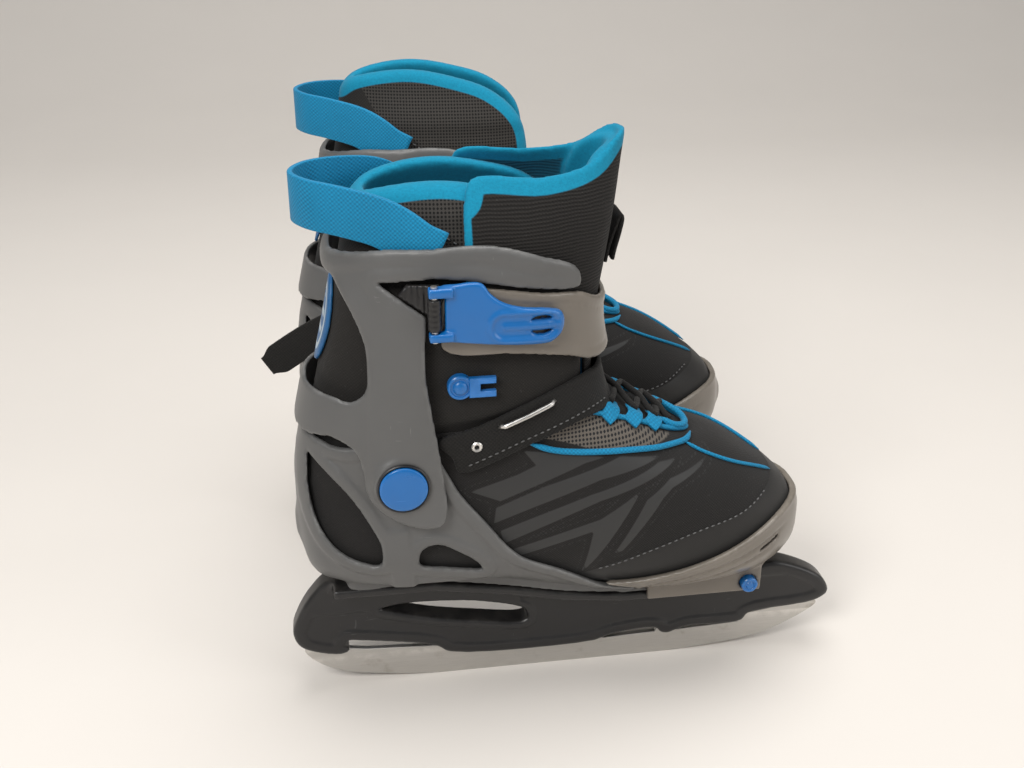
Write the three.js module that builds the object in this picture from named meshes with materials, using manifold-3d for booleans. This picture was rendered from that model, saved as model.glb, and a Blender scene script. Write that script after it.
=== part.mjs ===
// A pair of children's ice skates with soft boots, hinged cuffs and toes that slide out to adjust
// the size.
// Millimetres. +X points to the toes, +Z up, and the blades stand on Z = 0. The pair is mirrored about Y = 0.
// Every piece is drawn for the right skate in the skate's own frame: X = 0 is the middle of the blade's
// contact, Y = 0 the blade's mid-plane, and -Y the outer side of the foot. The left skate is its mirror image.
import * as THREE from "three";
import { mergeVertices } from "three/addons/utils/BufferGeometryUtils.js";
import Module from "manifold-3d";

const wasm = await Module();
wasm.setup();

// ---- Driving dimensions -------------------------------------------------------------------------
const SKATE_SPACING = 157; // between the two blades
const TOE_IN = 2.75; // degrees that each skate turns towards the other
const BALL_HALF_WIDTH = 45; // of the soft boot, at the ball of the foot
const LEG_HALF_WIDTH = 38; // of the soft boot, at the ankle
const COLLAR_TOP = 273; // height of the right collar's upper edge
const LEFT_COLLAR_TOP = 287; // the left collar stands up straighter
const LEFT_BEHIND = 6; // the left skate stands this much further back
const TONGUE_TOP = 289; // height of the upright tongue's front corner
const COLLAR_FRONT = 8; // front edges of the collar, between which the tongue lies
const TONGUE_RAKE = 14; // how far its rim falls towards the sides
const SLUMPED_TONGUE_TOP = 232; // the left skate's tongue has slid down
const BLADE_THICKNESS = 3;
const HOLDER_WEB_HALF = 6.5; // half thickness of the holder's upright web
const FLANGE_HALF = 18; // half width of the holder's top flange
const FLANGE_THICKNESS = 5;
const FRAME_WALL = 3.5; // wall of the heel frame and of the toe shell
const CUFF_WALL = 3.4;
const STRAP_WALL = 3;
const LEVER_THICKNESS = 5;
const LINER_WALL = 7; // padded collar
const UPPER_WALL = 5; // forefoot and ankle fabric with its lining
const TONGUE_WALL = 3.8;
const RAIL_HALF = 18; // half width of the rail on which the toe slides
const RAIL_THICKNESS = 3;
const RAIL_BOTTOM = 51.7;
const RAIL_FRONT = 101;
const RUNNER_BOTTOM = 49.3; // the toe's runners reach down beside the holder's flange
const TOE_TRAVEL = 18;
const PIVOT_SHAFT_RADIUS = 5;
const PIVOT_CAP_RADIUS = 12.3;
const PIVOT_CAP_THICKNESS = 2.6;
const BUTTON_RADIUS = 4.2;
const BUTTON_TRAVEL = 2;
const WEBBING = 2.4; // thickness of the pull loop and of the instep strap
const LOOP_WIDTH = 22;
const LACE_RADIUS = 1.7;
const PIN_RADIUS = 1.5; // buckle's hinge pin
const BOLT_RADIUS = 3;
const SOFT_GAP = 0.4; // between cloth and whatever lies on it
const GAP = 0.3; // between fixed hard pieces
const RUNNING_GAP = 0.6; // between hard pieces that slide or turn on each other

// Places that several pieces share, as [x, z] in the skate's side view.
const PIVOT = [-77, 139];
const BUTTON = [99, 54.6];
const HOOK = [-50, 185];
const BUCKLE_PIN = [-61, 223];
const STRAP_RIVET = [-13, 216];
const STRAP_BEND = -4; // x of the upright line on the inner side about which the shin strap opens
const HOLDER_BOLTS = [-88, 20];
const FRAME_FRONT = 37; // where the heel frame ends and the toe shell begins

// ---- Soft boot form -----------------------------------------------------------------------------
// Foot: station x, share of the ball's half width, underside, top.
const FOOT = [
  [-124, 0.14, 92, 108],
  [-120, 0.4, 81, 118],
  [-108, 0.63, 74, 132],
  [-90, 0.76, 72.5, 140],
  [-60, 0.8, 72, 150],
  [-30, 0.84, 69, 160],
  [0, 0.91, 63, 166],
  [30, 0.99, 59.5, 157],
  [60, 1, 59, 141],
  [85, 0.92, 60, 131],
  [103, 0.75, 62, 119.5],
  [115, 0.53, 66, 110],
  [122, 0.33, 71, 102],
  [126, 0.12, 79, 92],
];
// Leg: height z, back x, front x, share of the ankle's half width.
const LEG = [
  [80, -108, -12, 0.8],
  [97, -119, 6, 0.89],
  [122, -124, 21, 0.96],
  [152, -119, 24, 1],
  [182, -112, 18, 0.99],
  [207, -106, 14, 0.97],
  [230, -101, 17, 0.97],
  [249, -97, 20, 0.93],
  [262, -94, 22, 0.79],
  [276, -92, 24, 0.58],
  [300, -90, 27, 0.4],
];
const FOOT_ROUNDNESS = 2.5; // superellipse exponents
const LEG_ROUNDNESS = 2.5;
const TOE_INSET = 4; // the toe leans towards the inner side of the foot
const RING_POINTS = 14;
const FOOT_SECTIONS = 10;

// ---- Finishes -----------------------------------------------------------------------------------
const finish = (color, roughness, metalness = 0) => () =>
  new THREE.MeshStandardMaterial({ color, roughness, metalness });
const STEEL = finish(0xc9ccd0, 0.3, 1);
const BLACK_PLASTIC = finish(0x15171b, 0.4);
const DARK_GREY = finish(0x5d5f63, 0.5);
const WARM_GREY = finish(0x8b8883, 0.4);
const BLUE = finish(0x0a6fd0, 0.35);
const BLACK_CLOTH = finish(0x17181b, 0.9);
const RIBBED_CLOTH = finish(0x222327, 0.95);
const TEAL_WEBBING = finish(0x1585b8, 0.8);
const FELT = finish(0x3c4045, 0.95);

// ---- Solids -------------------------------------------------------------------------------------
function solid(geometry) {
  geometry.deleteAttribute("normal");
  geometry.deleteAttribute("uv");
  const merged = mergeVertices(geometry, 1e-4);
  return new wasm.Manifold(
    new wasm.Mesh({
      numProp: 3,
      vertProperties: merged.attributes.position.array,
      triVerts: new Uint32Array(merged.index.array),
    }),
  );
}

// Joins closed rings of points, in order, into one closed solid with a fan on each end.
function loft(rings) {
  const count = rings[0].length;
  const positions = rings.flat(2);
  const ends = [rings[0], rings.at(-1)];
  for (const ring of ends)
    for (const axis of [0, 1, 2]) positions.push(ring.reduce((sum, p) => sum + p[axis], 0) / count);
  const faces = [];
  for (let r = 0; r + 1 < rings.length; r++)
    for (let i = 0; i < count; i++) {
      const a = r * count + i;
      const b = r * count + ((i + 1) % count);
      faces.push([a, b, b + count], [a, b + count, a + count]);
    }
  const last = (rings.length - 1) * count;
  for (let i = 0; i < count; i++) {
    const next = (i + 1) % count;
    faces.push([rings.length * count, next, i], [rings.length * count + 1, last + i, last + next]);
  }
  const point = (i) => new THREE.Vector3(...positions.slice(3 * i, 3 * i + 3));
  const volume = faces.reduce((sum, [a, b, c]) => sum + point(a).dot(point(b).cross(point(c))), 0);
  const geometry = new THREE.BufferGeometry();
  geometry.setAttribute("position", new THREE.Float32BufferAttribute(positions, 3));
  geometry.setIndex(faces.flatMap(([a, b, c]) => (volume < 0 ? [a, c, b] : [a, b, c])));
  return solid(geometry);
}

// A side-view outline of [x, z] points, rounded off where smooth, drawn from y0 to y1.
function plate(points, y0, y1, smooth = false) {
  const outline = points.map(([x, z]) => new THREE.Vector2(x, z));
  const curve = new THREE.SplineCurve([...outline, outline[0]]);
  const path = smooth ? curve.getPoints(Math.round(1.5 * outline.length)) : outline;
  const geometry = new THREE.ExtrudeGeometry(new THREE.Shape(path), {
    depth: y1 - y0,
    bevelEnabled: false,
    steps: 1,
  });
  return solid(geometry.rotateX(Math.PI / 2).translate(0, y1, 0));
}

function block(x0, x1, y0, y1, z0, z1) {
  const geometry = new THREE.BoxGeometry(x1 - x0, y1 - y0, z1 - z0);
  return solid(geometry.translate((x0 + x1) / 2, (y0 + y1) / 2, (z0 + z1) / 2));
}

// A cylinder across the skate, from y0 to y1.
function crossPin([x, z], radius, y0, y1, sides = 14) {
  const geometry = new THREE.CylinderGeometry(radius, radius, y1 - y0, sides);
  return solid(geometry.translate(x, (y0 + y1) / 2, z));
}

function uprightPin(x, y, radius, z0, z1, sides = 10) {
  const geometry = new THREE.CylinderGeometry(radius, radius, z1 - z0, sides).rotateX(Math.PI / 2);
  return solid(geometry.translate(x, y, (z0 + z1) / 2));
}

const table = (rows) =>
  new THREE.CubicInterpolant(
    rows.map((row) => row[0]),
    rows.flatMap((row) => row.slice(1)),
    rows[0].length - 1,
  );
const footAt = table(FOOT);
const legAt = table(LEG);
const signedPower = (value, exponent) => Math.sign(value) * Math.abs(value) ** exponent;
const ringAngles = Array.from({ length: RING_POINTS }, (_, i) => (2 * Math.PI * i) / RING_POINTS);
const smoothstep = (value) => THREE.MathUtils.smoothstep(value, 0, 1);

// The foot's form, grown outwards by a distance.
function foot(grow) {
  const heel = FOOT[0][0];
  const toe = FOOT.at(-1)[0];
  const rings = [];
  for (let i = 0; i < FOOT_SECTIONS; i++) {
    const share = (1 - Math.cos((Math.PI * i) / (FOOT_SECTIONS - 1))) / 2;
    const x = heel + share * (toe - heel);
    const [width, bottom, top] = footAt.evaluate(x);
    const ahead = (2 * share - 1) * grow;
    const inset = TOE_INSET * smoothstep((x - 20) / 100);
    const middle = (top + bottom) / 2;
    rings.push(
      ringAngles.map((angle) => [
        x + ahead,
        inset + (width * BALL_HALF_WIDTH + grow) * signedPower(Math.cos(angle), 2 / FOOT_ROUNDNESS),
        middle + ((top - bottom) / 2 + grow) * signedPower(Math.sin(angle), 2 / FOOT_ROUNDNESS),
      ]),
    );
  }
  return loft(rings);
}

// The leg's ring at a height; the growth may differ round the ring.
function legRing(z, growAt) {
  const [back, front, width] = legAt.evaluate(z);
  return ringAngles.map((angle) => {
    const grow = growAt(angle);
    return [
      (back + front) / 2 + ((front - back) / 2 + grow) * signedPower(Math.cos(angle), 2 / LEG_ROUNDNESS),
      (width * LEG_HALF_WIDTH + grow) * signedPower(Math.sin(angle), 2 / LEG_ROUNDNESS),
      z,
    ];
  });
}

function leg(grow) {
  const growAt = typeof grow === "function" ? grow : () => grow;
  return loft(LEG.map(([z]) => legRing(z, growAt)));
}

const boots = new Map();
function boot(grow) {
  if (!boots.has(grow)) boots.set(grow, foot(grow).add(leg(grow)));
  return boots.get(grow);
}
const shell = (inner, outer) => boot(outer).subtract(boot(inner));
const legShell = (inner, outer) => leg(outer).subtract(leg(inner));

// Distance from the mid-plane to the leg's side at a place in the side view.
function legSide([x, z]) {
  const [back, front, width] = legAt.evaluate(z);
  const share = Math.abs(x - (back + front) / 2) / ((front - back) / 2);
  return width * LEG_HALF_WIDTH * (1 - share ** LEG_ROUNDNESS) ** (1 / LEG_ROUNDNESS);
}

const WIDE = 90; // past the outer side of any piece
const across = (points, smooth) => plate(points, -WIDE, WIDE, smooth);
const outerSide = (points, smooth) => plate(points, -WIDE, 0, smooth);
const innerSide = (points, smooth) => plate(points, 0, WIDE, smooth);

// ---- Radial stack, from the soft boot outwards --------------------------------------------------
const FRAME_INNER = SOFT_GAP;
const FRAME_OUTER = FRAME_INNER + FRAME_WALL;
const CUFF_INNER = FRAME_OUTER + RUNNING_GAP;
const CUFF_OUTER = CUFF_INNER + CUFF_WALL;
const STRAP_OUTER = CUFF_INNER + STRAP_WALL;
const LEVER_INNER = Math.max(CUFF_OUTER, STRAP_OUTER) + GAP;
const LEVER_OUTER = LEVER_INNER + LEVER_THICKNESS;

// The toe's runners pass beside both the frame's rail and the holder's flange.
const RUNNER_INNER = Math.max(RAIL_HALF, FLANGE_HALF) + RUNNING_GAP;
const RUNNER_OUTER = RUNNER_INNER + FRAME_WALL;

// ---- Blade and holder ---------------------------------------------------------------------------
function bladeOutline(clearance) {
  return [
    [-129 - clearance, 22],
    [-124, 15],
    [-111, 7.5],
    [-84, 2.2],
    [-60, 0],
    [60, 0],
    [84, 2],
    [118, 6.5],
    [143, 19],
    [147 + clearance, 23],
    [144 + clearance, 26 + clearance],
    [120, 22 + clearance],
    [106, 20 + clearance],
    [103, 15],
    [68, 13.5],
    [65, 19 + clearance],
    [60, 19 + clearance],
    [57, 13.5],
    [28, 12.5],
    [24, 18 + clearance],
    [-54, 20 + clearance],
    [-59, 17.5],
    [-97, 19.5],
    [-106, 21],
    [-110, 25 + clearance],
    [-126, 27 + clearance],
  ];
}

const HOLDER_OUTLINE = [
  [-112, 67.5],
  [-62, 67.5],
  [-25, 61.5],
  [5, 55],
  [36, 51.4],
  [106, 51.4],
  [113, 54],
  [122, 54],
  [144, 44],
  [150, 37],
  [151, 32],
  [144, 27],
  [107, 22.5],
  [104, 18.5],
  [75, 17.8],
  [67, 16],
  [63, 14.5],
  [59, 15.5],
  [56, 18.5],
  [34, 17.5],
  [27, 15.5],
  [22, 14],
  [-54, 15.5],
  [-62, 20.5],
  [-101, 28],
  [-106, 28.5],
  [-108, 26],
  [-106, 22.5],
  [-111, 20.5],
  [-130, 26.5],
  [-134, 35],
  [-132, 43],
  [-124, 57],
];
const HOLDER_WINDOW = [
  [-90, 46.5],
  [-77, 48.5],
  [-57, 48],
  [-37, 45.5],
  [-15, 38.5],
  [-13, 33],
  [-17, 31.5],
  [-40, 34.5],
  [-64, 39],
];
// Underside of the boot along which the holder's flange runs.
const HOLDER_SEAT = [
  [-112, 67.5],
  [-62, 67.5],
  [-25, 61.5],
  [5, 55],
  [36, 51.4],
  [106, 51.4],
];

function blade() {
  return plate(bladeOutline(0), -BLADE_THICKNESS / 2, BLADE_THICKNESS / 2);
}

function boltHoles() {
  return HOLDER_BOLTS.map((x) => uprightPin(x, 0, BOLT_RADIUS + GAP, 30, 90)).reduce((a, b) => a.add(b));
}

function bladeHolder() {
  const web = plate(HOLDER_OUTLINE, -HOLDER_WEB_HALF, HOLDER_WEB_HALF);
  const lowered = HOLDER_SEAT.map(([x, z]) => [x, z - FLANGE_THICKNESS]).reverse();
  const flange = plate([...HOLDER_SEAT, ...lowered], -FLANGE_HALF, FLANGE_HALF);
  const window = plate(HOLDER_WINDOW, -WIDE, WIDE, true);
  const groove = plate(bladeOutline(GAP), -BLADE_THICKNESS / 2 - GAP, BLADE_THICKNESS / 2 + GAP);
  return web.add(flange).subtract(window).subtract(groove).subtract(boltHoles());
}

function holderBolt(x) {
  const seat = footAt.evaluate(x)[1];
  return uprightPin(x, 0, BOLT_RADIUS, seat - 22, seat - GAP);
}

// ---- Heel frame and sliding toe -----------------------------------------------------------------
const FRAME_OUTLINE = [
  [FRAME_FRONT, 40],
  [FRAME_FRONT, 65.4],
  [20, 69],
  [8, 77],
  [-3, 83.5],
  [-22, 93],
  [-40, 116],
  [-51, 131],
  [-57, 143],
  [-64, 155],
  [-77, 159],
  [-92, 156],
  [-106, 154],
  [-118, 156],
  [-140, 158],
  [-140, 40],
];
const REAR_WINDOW = [
  [-119, 147],
  [-110, 139],
  [-101, 129],
  [-92, 114],
  [-88, 103],
  [-89, 93],
  [-97, 94],
  [-109, 101],
  [-117, 114],
  [-120, 131],
];
const FRONT_WINDOW = [
  [-62, 104],
  [-69, 101],
  [-70, 92],
  [-57, 88.5],
  [-40, 85],
  [-43, 91],
  [-51, 98],
];
const SOLE_BLOCK = [
  [-104, 68],
  [-62, 68],
  [-25, 62],
  [5, 55.5],
  [FRAME_FRONT, RAIL_BOTTOM],
  [FRAME_FRONT, 60],
  [5, 66],
  [-60, 74],
  [-104, 75],
];

function heelFrame() {
  const walls = shell(FRAME_INNER, FRAME_OUTER).intersect(across(FRAME_OUTLINE));
  const railTop = RAIL_BOTTOM + RAIL_THICKNESS;
  const rail = block(FRAME_FRONT - 3, RAIL_FRONT, -RAIL_HALF, RAIL_HALF, RAIL_BOTTOM, railTop);
  const riser = plate(SOLE_BLOCK, -RAIL_HALF, RAIL_HALF).subtract(boot(FRAME_INNER));
  const windows = across(REAR_WINDOW, true).add(across(FRONT_WINDOW, true));
  const pivotHole = crossPin(PIVOT, PIVOT_SHAFT_RADIUS + RUNNING_GAP / 2, -WIDE, WIDE);
  return walls.subtract(windows).add(riser).add(rail).subtract(pivotHole).subtract(boltHoles());
}

const TOE_OUTLINE = [
  [FRAME_FRONT + GAP, 40],
  [FRAME_FRONT + GAP, 66],
  [19, 71.4],
  [38, 75],
  [68, 84],
  [87, 91],
  [100, 96],
  [110, 99],
  [150, 103],
  [150, 40],
];

function toeShell() {
  const cup = shell(FRAME_INNER, FRAME_OUTER).intersect(across(TOE_OUTLINE));
  const side = RUNNER_INNER;
  const runner = (y) => block(46, 106, y, y + FRAME_WALL, RUNNER_BOTTOM, 66);
  const floorTrim = block(FRAME_FRONT - 5, 130, -side, side, 40, RAIL_BOTTOM + RAIL_THICKNESS + GAP);
  const bore = crossPin(BUTTON, BUTTON_RADIUS + GAP, -40, 0);
  const runners = runner(side).add(runner(-RUNNER_OUTER)).subtract(boot(FRAME_INNER));
  return cup.add(runners).subtract(floorTrim).subtract(bore).subtract(tailRelief());
}

// The tips of the toe shell slide along the ankle's wider part, and are cut back there.
function tailRelief() {
  const slide = 7.5;
  return boot(FRAME_INNER).translate([-slide, 0, 0]).intersect(block(0, 22, -WIDE, WIDE, 40, 110));
}

// The button stands in the outer runner, with a blind bore behind it for its spring.
const BUTTON_OUT = -(RUNNER_OUTER + BUTTON_TRAVEL + 1);
const BUTTON_IN = -(RUNNER_INNER + BUTTON_TRAVEL + GAP);
function sizeButton() {
  const springBore = crossPin(BUTTON, BUTTON_RADIUS - 1.4, BUTTON_OUT + 2, 0, 16);
  return crossPin(BUTTON, BUTTON_RADIUS, BUTTON_OUT, BUTTON_IN).subtract(springBore);
}

function buttonSpring() {
  return crossPin(BUTTON, BUTTON_RADIUS - 1.8, BUTTON_OUT + 2 + GAP, -RAIL_HALF - GAP, 12);
}

// ---- Soft boot ----------------------------------------------------------------------------------
const UPPER_REAR = 28; // the forefoot starts here
const ANKLE_REGION = [
  [UPPER_REAR - 1, 30],
  [UPPER_REAR - 1, 166],
  [4, 170],
  [-40, 163],
  [-77, 160],
  [-150, 160],
  [-150, 30],
];
const collarRegion = (top) => [
  [COLLAR_FRONT, 193],
  [COLLAR_FRONT, top - 34],
  [COLLAR_FRONT - 6, top - 21],
  [COLLAR_FRONT - 20, top - 10],
  [-30, top - 4],
  [-52, top],
  [-70, top - 1],
  [-86, top - 5],
  [-98, top - 12],
  [-150, top - 16],
  [-150, 168],
  [-77, 168],
  [-40, 175],
];

function ankleLiner() {
  return shell(-UPPER_WALL, 0).intersect(across(ANKLE_REGION));
}

function forefootUpper() {
  const region = block(UPPER_REAR, 150, -WIDE, WIDE, 30, 164);
  return shell(-UPPER_WALL, 0).intersect(region);
}

function collarLiner(top) {
  return legShell(-LINER_WALL, 0).intersect(across(collarRegion(top)));
}

function insole() {
  const grow = -UPPER_WALL - SOFT_GAP;
  const lid = plate(
    [
      [-150, 40],
      [-150, 83],
      [-55, 82],
      [10, 71],
      [40, 68.5],
      [105, 68.5],
      [105, 40],
    ],
    -WIDE,
    WIDE,
  );
  const whole = boot(grow).intersect(lid);
  return [1, 2, 3].reduce((trimmed, step) => trimmed.intersect(toeRoom(grow, step / 3)), whole);
}

// Room that the sliding forefoot leaves inside itself at a share of its travel.
function toeRoom(grow, share) {
  const travel = share * TOE_TRAVEL;
  const behind = block(-150, UPPER_REAR + travel - 1, -WIDE, WIDE, 30, 170);
  return boot(grow).translate([travel, 0, 0]).add(behind);
}

// The tongue's rim falls by a rake from its front corner back along the sides.
function tongue(top, rake) {
  const low = 207;
  const wrapped = legShell(SOFT_GAP, TONGUE_WALL).intersect(
    across([
      [-46, low],
      [-46, top - 1.6 * rake],
      [-42, top - rake],
      [-10, top - 1.05 * rake],
      [12, top - 0.75 * rake],
      [27, top],
      [60, top],
      [60, low],
    ]),
  );
  const behind = legShell(-4, SOFT_GAP + 0.1).intersect(
    across([
      [COLLAR_FRONT + 1, low],
      [COLLAR_FRONT + 1, top - 0.75 * rake - 3],
      [26, top - 3],
      [60, top - 1],
      [60, low],
    ]),
  );
  return wrapped.add(behind);
}

const STRAP_BAND = [
  [-51, 141.5],
  [-17, 153],
  [8, 160],
  [UPPER_REAR - 2, 161],
  [UPPER_REAR - 2, 180],
  [8, 182],
  [-17, 175],
  [-42, 165],
  [-61, 158],
  [-54, 149],
];

// The band goes over the instep; its end pieces lie on the ankle on both sides.
function instepStrap() {
  return shell(SOFT_GAP, SOFT_GAP + WEBBING).intersect(across(STRAP_BAND));
}

// A ribbon of given thickness and width that follows points, its width upright.
function ribbon(points, thickness, width, samples) {
  const curve = new THREE.CatmullRomCurve3(points.map((p) => new THREE.Vector3(...p)));
  const rings = [];
  for (let i = 0; i <= samples; i++) {
    const middle = curve.getPointAt(i / samples);
    const tangent = curve.getTangentAt(i / samples);
    const flat = new THREE.Vector3(tangent.x, tangent.y, 0).normalize();
    const out = new THREE.Vector3(-flat.y, flat.x, 0).multiplyScalar(thickness / 2);
    const up = new THREE.Vector3().crossVectors(tangent, out).normalize().multiplyScalar(width / 2);
    const corner = (a, b) => middle.clone().addScaledVector(out, a).addScaledVector(up, b).toArray();
    rings.push([corner(1, 1), corner(-1, 1), corner(-1, -1), corner(1, -1)]);
  }
  return loft(rings);
}

// The left skate's band is undone: its loose end lies outside the cuff and sticks out behind the heel.
function looseStrap() {
  const side = LEG_HALF_WIDTH + SOFT_GAP + WEBBING / 2;
  const clear = LEG_HALF_WIDTH + CUFF_OUTER + PIVOT_CAP_THICKNESS + 5;
  const tail = ribbon(
    [
      [-24, side - 0.6, 163],
      [-38, side + 3, 165],
      [-52, clear - 3, 167],
      [-78, clear, 163],
      [-110, clear - 3, 148],
      [-140, clear - 8, 127],
    ],
    WEBBING,
    18,
    14,
  );
  const cutOff = block(-70, -34, 0, WIDE, 120, 190);
  return instepStrap().subtract(cutOff).add(tail);
}

function strapRing() {
  const rise = 8.5;
  const slanted = (x0, x1, z0, z1) => {
    const corners = [
      [x0, z0],
      [x1, z0 + rise],
      [x1, z1 + rise],
      [x0, z1],
    ];
    return plate(corners, -WIDE, 0);
  };
  const frame = slanted(-32, -9, 160, 172).subtract(slanted(-30, -11, 163, 169));
  const inner = SOFT_GAP + WEBBING + GAP;
  return shell(inner, inner + 1.6).intersect(frame);
}

// ---- Laces --------------------------------------------------------------------------------------
const topAt = (x) => footAt.evaluate(x)[2];

function laceGuide() {
  const band = block(40, 51, -24, 24, 100, 200);
  return foot(2).subtract(foot(SOFT_GAP)).intersect(band);
}

function tube(points, radius, steps) {
  const curve = new THREE.CatmullRomCurve3(points.map((p) => new THREE.Vector3(...p)));
  const ring = new THREE.Shape();
  ring.absarc(0, 0, radius, 0, 2 * Math.PI);
  return solid(
    new THREE.ExtrudeGeometry(ring, { steps, curveSegments: 4, bevelEnabled: false, extrudePath: curve }),
  );
}

function lace() {
  const lift = 2 + SOFT_GAP + LACE_RADIUS + 1.2;
  const route = [
    [31, -13],
    [44, -14],
    [58, -14],
    [69, -11],
    [71, -6],
    [62, -2],
    [46, 1],
    [31, 2],
  ];
  return tube(
    route.map(([x, y]) => [x, y, topAt(x) + lift]),
    LACE_RADIUS,
    18,
  );
}

// ---- Cuff and what it carries -------------------------------------------------------------------
const CUFF_LOWER = [
  [-150, 157],
  [-120, 158],
  [-107, 160],
  [-98, 155],
  [-95, 147],
  [-94, 136],
  [-90, 128],
  [-80, 120],
  [-67, 115.5],
  [-60, 117],
  [-57.5, 123],
  [-57.5, 132],
  [-60, 154],
  [-63, 175],
  [-65, 191],
  [-65, 205],
];
const CUFF_RIM = 251; // highest point of the cuff's rim
const CUFF_UPPER = [
  [-58, 237],
  [-37, 234],
  [-13, 229.5],
  [4, 228],
  [4, 234],
  [0, 239],
  [-13, 244],
  [-30, 249.5],
  [-44, CUFF_RIM],
  [-60, CUFF_RIM - 1],
  [-80, 249],
  [-98, 245],
  [-108, 242],
  [-150, 241],
];
// A sharp notch in the front edge, between the lower and the upper part.
const NOTCH = [
  [-64, 220],
  [-84, 234.5],
];
const CUFF_BACK_OPENING = [
  [-150, 233],
  [-103, 233],
  [-95, 218],
  [-91, 206],
  [-90.5, 194],
  [-92, 184],
  [-98, 179],
  [-108, 180],
  [-150, 181],
];
// On the inner side the notch is closed by the ear that carries the strap's rivet.
const STRAP_EAR = [
  [-66, 206],
  [STRAP_BEND - 1, 206],
  [STRAP_BEND - 1, 236],
  [-86, 238],
];

function cuff() {
  const walls = shell(CUFF_INNER, CUFF_OUTER);
  const outline = across([...CUFF_LOWER, ...NOTCH, ...CUFF_UPPER]).add(innerSide(STRAP_EAR));
  const boss = (y0, y1) => crossPin(PIVOT, PIVOT_CAP_RADIUS + 1, y0, y1, 20);
  const side = pivotFace();
  const bosses = boss(side - CUFF_WALL, side).add(boss(-side, -side + CUFF_WALL)).subtract(boot(CUFF_INNER));
  const body = walls.intersect(outline.subtract(across(CUFF_BACK_OPENING)));
  const pivotHole = crossPin(PIVOT, PIVOT_SHAFT_RADIUS + RUNNING_GAP / 2, -WIDE, WIDE);
  const rivetHole = crossPin(STRAP_RIVET, BOLT_RADIUS + GAP, 0, WIDE);
  return body.add(bosses).subtract(pivotHole).subtract(rivetHole);
}

// Flat seat of the pivot caps, measured from the mid-plane.
function pivotFace() {
  return legSide(PIVOT) + CUFF_OUTER + 1.2;
}

// A cap with its shaft, on the outer side (-1) or the inner side (1).
function pivotCap(side) {
  const face = pivotFace() + GAP;
  const outer = face + PIVOT_CAP_THICKNESS;
  const tail = legSide(PIVOT) + FRAME_INNER + GAP;
  const cap = crossPin(PIVOT, PIVOT_CAP_RADIUS, face, outer, 20);
  const shaft = crossPin(PIVOT, PIVOT_SHAFT_RADIUS, tail, outer);
  return cap.add(shaft).scale([1, side, 1]);
}

function heelBadge() {
  const oval = Array.from({ length: 16 }, (_, i) => {
    const angle = (2 * Math.PI * i) / 16;
    return new THREE.Vector2(13 * Math.cos(angle), 207 + 21 * Math.sin(angle));
  });
  const depth = 60;
  const geometry = new THREE.ExtrudeGeometry(new THREE.Shape(oval), { depth, bevelEnabled: false });
  geometry.rotateX(Math.PI / 2).rotateZ(Math.PI / 2).translate(-150, 0, 0);
  return legShell(SOFT_GAP, SOFT_GAP + 1.4).intersect(solid(geometry));
}

function pullLoop() {
  const sewn = [
    [-58, 246, 0.6],
    [-66, 250, 0.8],
    [-74, 256, 1.2],
    [-82, 260, 3],
  ].map(([x, z, slack]) => [x, legSide([x, z - LOOP_WIDTH / 2]) + SOFT_GAP + WEBBING / 2 + slack, z]);
  const half = [...sewn, [-98, 24, 263], [-112, 14, 264]];
  const back = [-118, 0, 264];
  const mirrored = half.map(([x, y, z]) => [x, -y, z]).reverse();
  const cuffRim = block(-150, 50, -WIDE, WIDE, 200, CUFF_RIM + GAP).subtract(boot(CUFF_INNER - GAP));
  return ribbon([...half, back, ...mirrored], WEBBING, LOOP_WIDTH, 18).subtract(cuffRim);
}

function laceHook() {
  const seat = legSide(HOOK) + SOFT_GAP;
  const [x, z] = HOOK;
  const boss = crossPin(HOOK, 5.7, -seat - 4.5, -seat);
  const fork = plate(
    [
      [x, z - 5],
      [x + 16, z - 5],
      [x + 16, z - 2],
      [x + 9, z - 2],
      [x + 9, z + 1.5],
      [x + 16, z + 1.5],
      [x + 16, z + 4.5],
      [x, z + 4.5],
    ],
    -seat - 3.8,
    -seat - 0.6,
  );
  return boss.add(fork).subtract(boot(SOFT_GAP));
}

function tongueTab() {
  const [, front] = legAt.evaluate(215);
  const x = front + TONGUE_WALL + SOFT_GAP;
  return plate(
    [
      [x, 226],
      [x + 6, 229.5],
      [x + 9, 247],
      [x + 7, 249],
      [x + 4.6, 247],
    ],
    -9,
    9,
  ).subtract(leg(TONGUE_WALL + SOFT_GAP));
}

// ---- Shin strap and buckle ----------------------------------------------------------------------
const STRAP_TOP = [
  [-56, 235],
  [-37, 232],
  [-13, 228 - GAP],
  [4, 225],
  [14, 219],
  [32, 211],
];
const STRAP_BOTTOM = [
  [32, 189],
  [12, 190],
  [0, 195],
  [-16, 199],
  [-29, 201],
  [-56, 204],
];

// The strap lies in the cuff's layer on the outer side and passes over the cuff's ear on the inner side.
function strapGrow(extra) {
  const step = CUFF_OUTER + RUNNING_GAP - CUFF_INNER;
  return (angle) => CUFF_INNER + extra + step * smoothstep((Math.sin(angle) + 0.15) / 0.75);
}

function strapBand() {
  const layer = leg(strapGrow(STRAP_WALL)).subtract(leg(strapGrow(0)));
  return layer.intersect(across([...STRAP_TOP, ...STRAP_BOTTOM]));
}

// The strap proper ends a little ahead of the bend, so that it can turn there.
function shinStrap() {
  return strapBand().subtract(block(-100, STRAP_BEND + 2, 0, WIDE, 150, 260));
}

// The strap's riveted end, with the rivet through the cuff's ear.
function strapAnchor() {
  const end = strapBand().intersect(block(STRAP_RIVET[0] - 7, STRAP_BEND - 0.4, 0, WIDE, 150, 260));
  const side = legSide(STRAP_RIVET);
  const head = side + LEVER_INNER + STRAP_WALL + 1.5;
  return end.add(crossPin(STRAP_RIVET, BOLT_RADIUS, side + TONGUE_WALL + 2, head));
}

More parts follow.
